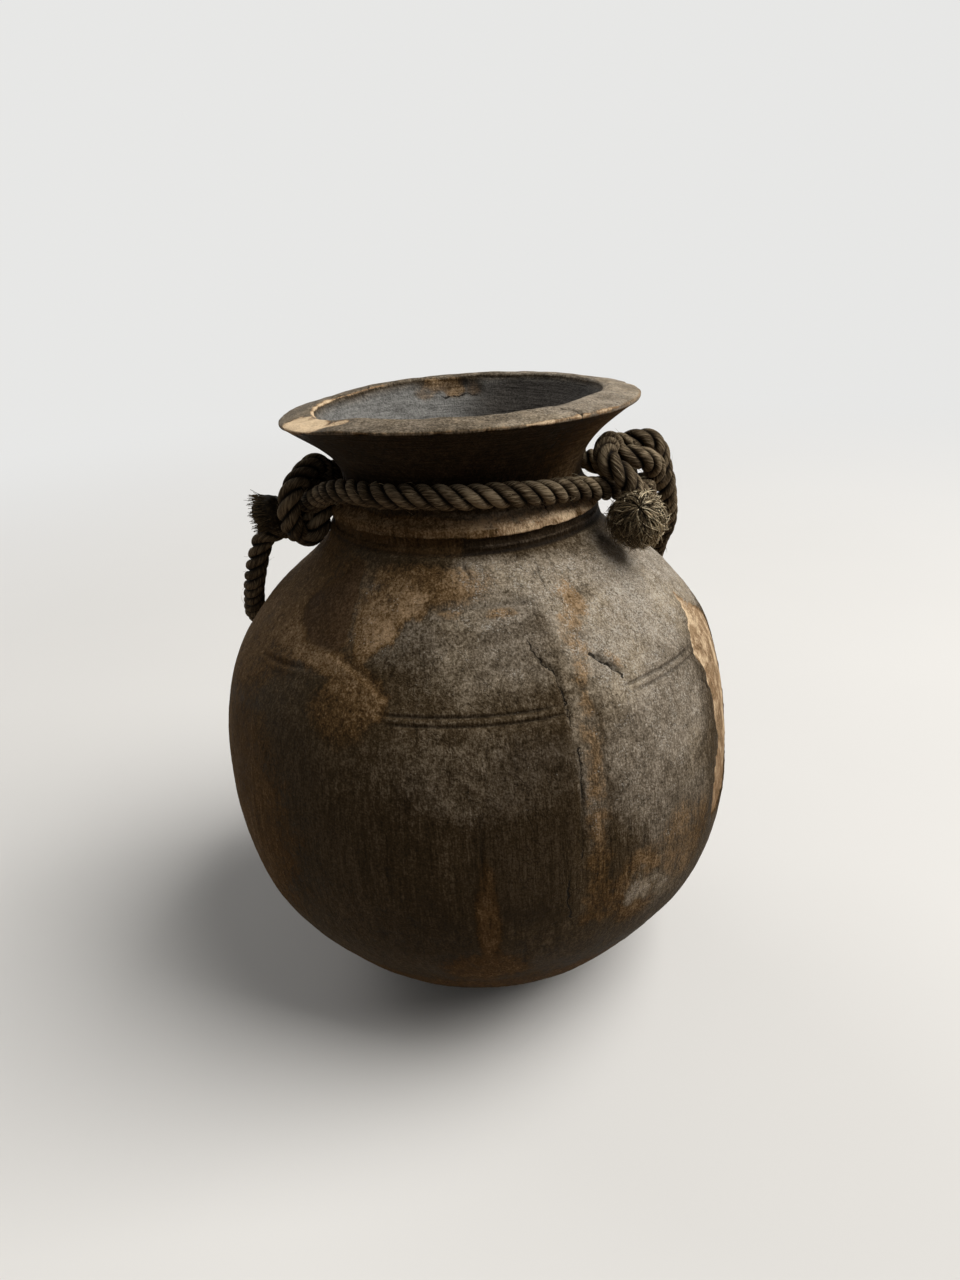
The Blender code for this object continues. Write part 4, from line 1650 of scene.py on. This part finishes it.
    def stretch(self, name: str, line: Array, before: float, start: Array) -> tuple:
        """Lay the strands along one stretch of the rope.

        Args:
            name: The piece's name.
            line: The stretch's centre line.
            before: The rope's length before this stretch.
            start: The side direction at the stretch's start.

        Returns:
            The piece, and the side direction at the stretch's end.
        """
        side, other = self.carry_sides(line, start)
        angles, radii = self.section()
        count, sides = len(line), len(angles)
        along = before + np.arange(count) * np.linalg.norm(line[1] - line[0])
        twist = math.tau * along / self.lay_length
        turned = angles[None, :] + twist[:, None]
        strand = np.repeat(np.arange(3), self.strand_sides)
        plump = 1.0 + 0.035 * np.sin(along[:, None] / 9.0 + strand * 2.1)
        plump += 0.02 * np.sin(along[:, None] / 3.7 + strand)
        reach = radii[None, :] * plump
        ring = side[:, None, :] * np.cos(turned)[..., None]
        ring = ring + other[:, None, :] * np.sin(turned)[..., None]
        points = (line[:, None, :] + ring * reach[..., None]).reshape(-1, 3)
        points = np.vstack([points, line[0], line[-1]])

        faces = []
        spots = []
        for k in range(count - 1):
            for j in range(sides):
                nxt = (j + 1) % sides
                faces.append((k * sides + j, k * sides + nxt, (k + 1) * sides + nxt, (k + 1) * sides + j))
                spots.extend(((k, j), (k, j + 1), (k + 1, j + 1), (k + 1, j)))
        first, last = count * sides, count * sides + 1
        for j in range(sides):
            nxt = (j + 1) % sides
            faces.append((first, nxt, j))
            faces.append((last, (count - 1) * sides + j, (count - 1) * sides + nxt))
            spots.extend(((0, j), (0, j + 1), (0, j), (count - 1, j), (count - 1, j), (count - 1, j + 1)))
        piece = mesh_piece(name, points, faces)

        spots = np.array(spots)
        opened = np.append(angles, angles[0] + math.tau)
        around = (opened[spots[:, 1]] + twist[spots[:, 0]]) * self.radius
        layer = piece.data.uv_layers.new(name="lay_map")
        layer.data.foreach_set("uv", (np.stack([along[spots[:, 0]], around], axis=1) / 100.0).ravel())
        crest = np.tile((radii - radii.min()) / (radii.max() - radii.min()), count)
        shade = (0.5 + 0.5 * np.sin(along[:, None] / 13.0 + strand * 2.4)).ravel()
        paint(piece, "lay", np.append(crest, (0.0, 0.0)), np.append(shade, (0.5, 0.5)))
        return piece, side[-1]

    def build(self, finish: Material) -> dict[str, Array]:
        """Lay the whole rope and put each stretch on its body.

        Args:
            finish: The rope's material.

        Returns:
            The centre line of each stretch by piece name.
        """
        lines = {
            "neck_turn_and_left_knot": self.centre_line(self.neck_route()),
            "carry_loop_rope": self.centre_line(self.loop_route()),
            "right_hitch": self.centre_line(self.hitch_route()),
        }
        bodies = {"carry_loop_rope": Body.LOOP}
        nodes = {
            "neck_turn_and_left_knot": ("neck_rope", "left_knot"),
            "carry_loop_rope": ("carry_rope",),
            "right_hitch": ("right_knot",),
        }
        turns = self.inner_turns()
        before = 0.0
        side = np.array((0.0, 1.0, 0.0))
        for name, line in lines.items():
            piece, side = self.stretch(name, line, before, side)
            before += float(np.linalg.norm(np.diff(line, axis=0), axis=1).sum())
            for route in turns.get(name, []):
                inner = self.centre_line(route)
                turn, _ = self.stretch(name + "_inner", inner, 0.0, np.array((0.0, 0.0, 1.0)))
                join(piece, turn)
            piece.data.materials.append(finish)
            settle(piece, bodies.get(name, Body.POT), Slot.ROPE, *nodes[name])
        return lines


def fibre_mesh(name: str, threads: list[Array], thick: Array, shades: Array) -> Piece:
    """Make one mesh of many thin three-sided fibres.

    Args:
        name: The piece's name.
        threads: The centre line of each fibre.
        thick: The radius of each fibre at its root.
        shades: A shade from 0 to 1 for each fibre.

    Returns:
        The mesh object, with its "strand" attribute.
    """
    points, faces, along, shade = [], [], [], []
    for thread, wide, tint in zip(threads, thick, shades):
        way = np.gradient(thread, axis=0)
        way /= np.linalg.norm(way, axis=1)[:, None] + 1e-9
        helper = np.array((0.31, 0.22, 0.92)) if abs(way[0][2]) < 0.8 else np.array((0.92, 0.31, 0.22))
        side = np.cross(way, helper)
        side /= np.linalg.norm(side, axis=1)[:, None]
        other = np.cross(way, side)
        start = len(points)
        for index, spot in enumerate(thread):
            share = index / (len(thread) - 1)
            reach = wide * (1.0 - 0.55 * share)
            for corner in range(3):
                angle = math.tau * corner / 3.0
                aside = side[index] * math.cos(angle) + other[index] * math.sin(angle)
                points.append(spot + reach * aside)
                along.append(share)
                shade.append(tint)
        for index in range(len(thread) - 1):
            for corner in range(3):
                low, low_next = start + 3 * index + corner, start + 3 * index + (corner + 1) % 3
                faces.append((low, low_next, low_next + 3, low + 3))
        end = start + 3 * (len(thread) - 1)
        faces.append((start, start + 2, start + 1))
        faces.append((end, end + 1, end + 2))
    piece = mesh_piece(name, np.array(points), faces)
    paint(piece, "strand", np.array(along), np.array(shade))
    return piece


class FrayForm(Enum):
    """How a rope end has come apart."""

    BRUSH = "brush"
    BALL = "ball"


@dataclass
class FrayedEnd:
    """A rope end that has come apart into a brush or a ball of fibres."""

    name: str
    node: str
    start: Array
    way: Array
    form: FrayForm
    reach: float
    flare: float
    count: int
    seed: int
    pale: float
    rope_radius: float = 4.5
    fibre_radius: float = 0.24

    def sides(self) -> tuple[Array, Array]:
        """Find two directions square to the way that the end points."""
        first = np.cross(self.way, (0.0, 0.0, 1.0))
        first = first / np.linalg.norm(first)
        return first, np.cross(self.way, first)

    def middle(self) -> Array:
        """Find the middle of the fibres."""
        return self.start if self.form is FrayForm.BALL else self.start + self.way * self.reach * 0.45

    def combed(self, pick: np.random.Generator, angle: float, share: Array) -> Array:
        """Draw a fibre that is combed over a ball from the eye on its top.

        Args:
            pick: The source of random numbers.
            angle: Which way round the eye the fibre runs.
            share: Places along the fibre, from 0 to 1.

        Returns:
            The fibre's centre line.
        """
        first, second = self.sides()
        begin = abs(pick.normal(0.0, 0.75)) + 0.06
        end = begin + pick.uniform(0.4, 1.5)
        polar = begin + (end - begin) * share
        swirl = angle + pick.normal(0.0, 0.65) * share
        flick = pick.uniform(-0.02, 0.14) * share**3
        rise = self.flare * (pick.uniform(0.80, 0.98) + flick)
        aside = first * np.cos(swirl) + second * np.sin(swirl)
        return self.middle() + rise * (self.way * np.cos(polar) + aside * np.sin(polar))

    def splayed(self, pick: np.random.Generator, angle: float, share: Array) -> Array:
        """Draw a fibre that leans out from the rope's end.

        Args:
            pick: The source of random numbers.
            angle: Which way round the rope the fibre leans.
            share: Places along the fibre, from 0 to 1.

        Returns:
            The fibre's centre line.
        """
        first, second = self.sides()
        aside = first * math.cos(angle) + second * math.sin(angle)
        out = math.sqrt(pick.uniform(0.0, 1.0))
        root = self.start - self.way * 1.2 + aside * self.rope_radius * out * 0.85
        bend = self.start + self.way * self.reach * 0.4 + aside * self.flare * 0.85 * out
        tip = self.start + self.way * self.reach * pick.uniform(0.88, 1.05) + aside * self.flare * out
        return root * (1.0 - share) ** 2 + bend * 2.0 * share * (1.0 - share) + tip * share**2

    def threads(self) -> tuple[list[Array], Array, Array]:
        """Draw the fibres.

        Returns:
            Their centre lines, their radii and their shades.
        """
        pick = np.random.default_rng(self.seed)
        draw = self.combed if self.form is FrayForm.BALL else self.splayed
        share = np.linspace(0.0, 1.0, 8)[:, None]
        lines, shades = [], []
        for _ in range(self.count):
            angle = pick.uniform(0.0, math.tau)
            line = draw(pick, angle, share)
            curl = pick.normal(0.0, 0.75, 3) * share**2
            curl = curl + pick.normal(0.0, 0.45, 3) * np.sin(share * 5.0 + angle)
            lines.append(line + curl * share)
            # Fibres that end on the right side are lighter: painted light.
            aside = line[-1, 0] - self.middle()[0]
            lit = 0.35 + 0.65 * float(ease(-0.5 * self.flare, 0.7 * self.flare, aside))
            shades.append(self.pale * lit * 1.25 * pick.uniform(0.0, 1.0) ** 1.5)
        thick = self.fibre_radius * pick.uniform(0.7, 1.3, self.count)
        return lines, thick, np.array(shades)

    def core(self, finish: Material) -> None:
        """Make the dark matted middle that the fibres grow from, as a lumpy ball.

        Args:
            finish: The fibres' material.
        """
        bpy.ops.object.select_all(action="DESELECT")
        bpy.ops.mesh.primitive_uv_sphere_add(segments=32, ring_count=18, radius=self.flare * 0.80 * MM)
        piece = bpy.context.active_object
        piece.name = self.name + "_core"
        places = np.zeros(len(piece.data.vertices) * 3)
        piece.data.vertices.foreach_get("co", places)
        ball = places.reshape(-1, 3) / MM
        ball *= 1.0 + 0.12 * rough(ball + self.seed, 3.0, 2)[:, None]
        first, second = self.sides()
        ball = self.middle() + ball @ np.stack([first, second, self.way])
        piece.data.vertices.foreach_set("co", (ball * MM).ravel())
        piece.data.update()
        piece.data.shade_smooth()
        # Near black: partly the fibres' own dark roots, partly painted shade deep among the fibres.
        paint(piece, "strand", np.zeros(len(ball)), np.full(len(ball), 0.10))
        piece.data.materials.append(finish)
        settle(piece, Body.POT, Slot.FRAY)

    def build(self, finish: Material) -> None:
        """Make the fibres and the core they grow from.

        Args:
            finish: The fibres' material.
        """
        brush = fibre_mesh(self.name, *self.threads())
        brush.data.materials.append(finish)
        settle(brush, Body.POT, Slot.FRAY, self.node)
        self.core(finish)


@dataclass
class StrayFibres:
    """Loose ends of fibre that stand off the rope."""

    name: str
    body: Body
    count: int
    seed: int
    rope_radius: float = 4.9

    def build(self, lines: Sequence[Array], finish: Material) -> Piece:
        """Grow the fibres from the rope's surface.

        Args:
            lines: The centre lines that they grow along.
            finish: The fibres' material.

        Returns:
            The fibres as one piece.
        """
        pick = np.random.default_rng(self.seed)
        lengths = np.array([len(line) for line in lines], dtype=float)
        share = np.linspace(0.0, 1.0, 6)[:, None]
        threads = []
        for _ in range(self.count):
            line = lines[int(pick.choice(len(lines), p=lengths / lengths.sum()))]
            spot = int(pick.integers(6, len(line) - 7))
            way = line[spot + 1] - line[spot - 1]
            way = way / np.linalg.norm(way)
            aside = pick.normal(0.0, 1.0, 3)
            aside = aside - way * (aside @ way)
            aside = aside / np.linalg.norm(aside)
            length = pick.uniform(2.0, 5.5)
            lean = way * pick.choice((-1.0, 1.0)) * pick.uniform(0.6, 1.4)
            rise = pick.uniform(0.25, 0.6)
            curl = np.cross(way, aside) * pick.normal(0.0, 0.5)
            thread = line[spot] + aside * (self.rope_radius - 0.5)
            bow = aside * rise * share * (1.3 - 0.6 * share)
            thread = thread + length * (bow + lean * share + curl * share**2)
            threads.append(thread)
        thick = pick.uniform(0.06, 0.11, self.count)
        piece = fibre_mesh(self.name, threads, thick, pick.uniform(0.1, 0.7, self.count))
        piece.data.materials.append(finish)
        settle(piece, self.body, Slot.FRAY)
        return piece


@dataclass
class Studio:
    """The camera at the photograph's view, soft lights and a pale floor."""

    camera_place: tuple = (0.0, -395.1, 333.5)
    pitch: float = 24.0
    yaw: float = 0.44
    roll: float = 3.43
    lens: float = 27.0
    floor_radius: float = 6.0
    sky: tuple = (0.80, 0.80, 0.79)
    sky_light: float = 0.112

    def camera(self) -> None:
        """Set the camera where the photograph was taken."""
        pitch, yaw, roll = (math.radians(value) for value in (self.pitch, self.yaw, self.roll))
        reach = math.cos(pitch)
        ahead = Vector((math.sin(yaw) * reach, math.cos(yaw) * reach, -math.sin(pitch)))
        level = Vector((math.cos(yaw), -math.sin(yaw), 0.0))
        below = ahead.cross(level)
        right = level * math.cos(roll) + below * math.sin(roll)
        down = below * math.cos(roll) - level * math.sin(roll)
        data = bpy.data.cameras.new("photo_view")
        data.lens = self.lens
        data.sensor_width = 36.0
        data.clip_start = 0.01
        eye = bpy.data.objects.new("photo_view", data)
        turn = Matrix((right, -down, -ahead)).transposed()
        eye.matrix_world = Matrix.Translation(Vector(self.camera_place) * MM) @ turn.to_4x4()
        bpy.context.collection.objects.link(eye)
        bpy.context.scene.camera = eye

    @staticmethod
    def soft_lamp(name: str, place: tuple, aim: tuple, size: float, watts: float, tint: tuple) -> None:
        """Add a square area lamp.

        Args:
            name: The lamp's name.
            place: Where it stands, in metres.
            aim: What it points at, in metres.
            size: The side of the square, in metres.
            watts: Its power.
            tint: Its colour.
        """
        data = bpy.data.lights.new(name, "AREA")
        data.size = size
        data.energy = watts
        data.color = tint
        lamp = bpy.data.objects.new(name, data)
        lamp.location = place
        lamp.rotation_euler = (Vector(aim) - Vector(place)).to_track_quat("-Z", "Y").to_euler()
        bpy.context.collection.objects.link(lamp)

    def lights(self) -> None:
        """Light the pot from the upper right, with weak light from all round."""
        self.soft_lamp("window_side", (2.2, -0.45, 3.0), (0.0, 0.0, 0.14), 2.9, 182.0, (1.0, 0.98, 0.95))
        self.soft_lamp("front_fill", (-1.0, -3.0, 1.8), (0.0, 0.0, 0.12), 2.4, 5.0, (1.0, 0.98, 0.96))
        self.soft_lamp("back_fill", (-1.9, 2.4, 1.9), (0.0, 0.0, 0.12), 2.4, 30.0, (1.0, 0.98, 0.96))
        world = bpy.data.worlds.new("studio_sky")
        world.use_nodes = True
        sheet = NodeSheet(world.node_tree)
        back = world.node_tree.nodes["Background"]
        strength = sheet.add("MapRange", Value=sheet.seen(), To_Min=self.sky_light, To_Max=1.0)
        sheet.fill(back, Color=(*self.sky, 1.0), Strength=strength.outputs[0])
        bpy.context.scene.world = world

    def floor(self) -> None:
        """Lay a wide round floor under the pot."""
        bpy.ops.object.select_all(action="DESELECT")
        bpy.ops.mesh.primitive_circle_add(
            vertices=96, radius=self.floor_radius, fill_type="NGON", location=(0.0, 0.0, 0.0))
        ground = bpy.context.active_object
        ground.name = "studio_floor"
        ground.data.materials.append(PaleFloor().material(self.sky))

    def build(self) -> None:
        """Set up the camera, lights and floor."""
        self.camera()
        self.lights()
        self.floor()
        bpy.context.scene.view_settings.view_transform = "Standard"


def main() -> None:
    """Build the scene: camera and rope first, then the pot and the frayed ends."""
    logging.basicConfig(level=logging.INFO, format="%(name)s %(message)s")
    Studio().build()
    groups = EffectGroups(streaks_group(), specks_group(), cut_group())
    rope_finish = OldRope().material(groups)
    fibre_finish = LooseFibre().material()

    rope = LaidRope()
    lines = rope.build(rope_finish)
    still = [lines["neck_turn_and_left_knot"], lines["right_hitch"]]
    loop = lines["carry_loop_rope"]
    StrayFibres("neck_stray_fibres", Body.POT, 150, 11).build(still, fibre_finish)
    loop_fibres = StrayFibres("loop_stray_fibres", Body.LOOP, 130, 12).build([loop], fibre_finish)

    TurnedPot().build(groups)
    # The left brush is made darker than the ball on the right: painted shade, as it hangs on the pot's
    # shaded left.
    brush = FrayedEnd(
        "left_brush", "left_frayed_end", LEFT_END, LEFT_END_WAY, FrayForm.BRUSH,
        reach=11.4, flare=8.8, count=420, seed=21, pale=0.35)
    ball = FrayedEnd(
        "right_brush", "right_frayed_end", TUFT_MIDDLE, TUFT_EYE_WAY, FrayForm.BALL,
        reach=11.6, flare=11.6, count=1100, seed=22, pale=1.0, fibre_radius=0.2)
    for frayed_end in (brush, ball):
        frayed_end.build(fibre_finish)


if __name__ == "__main__":
    main()
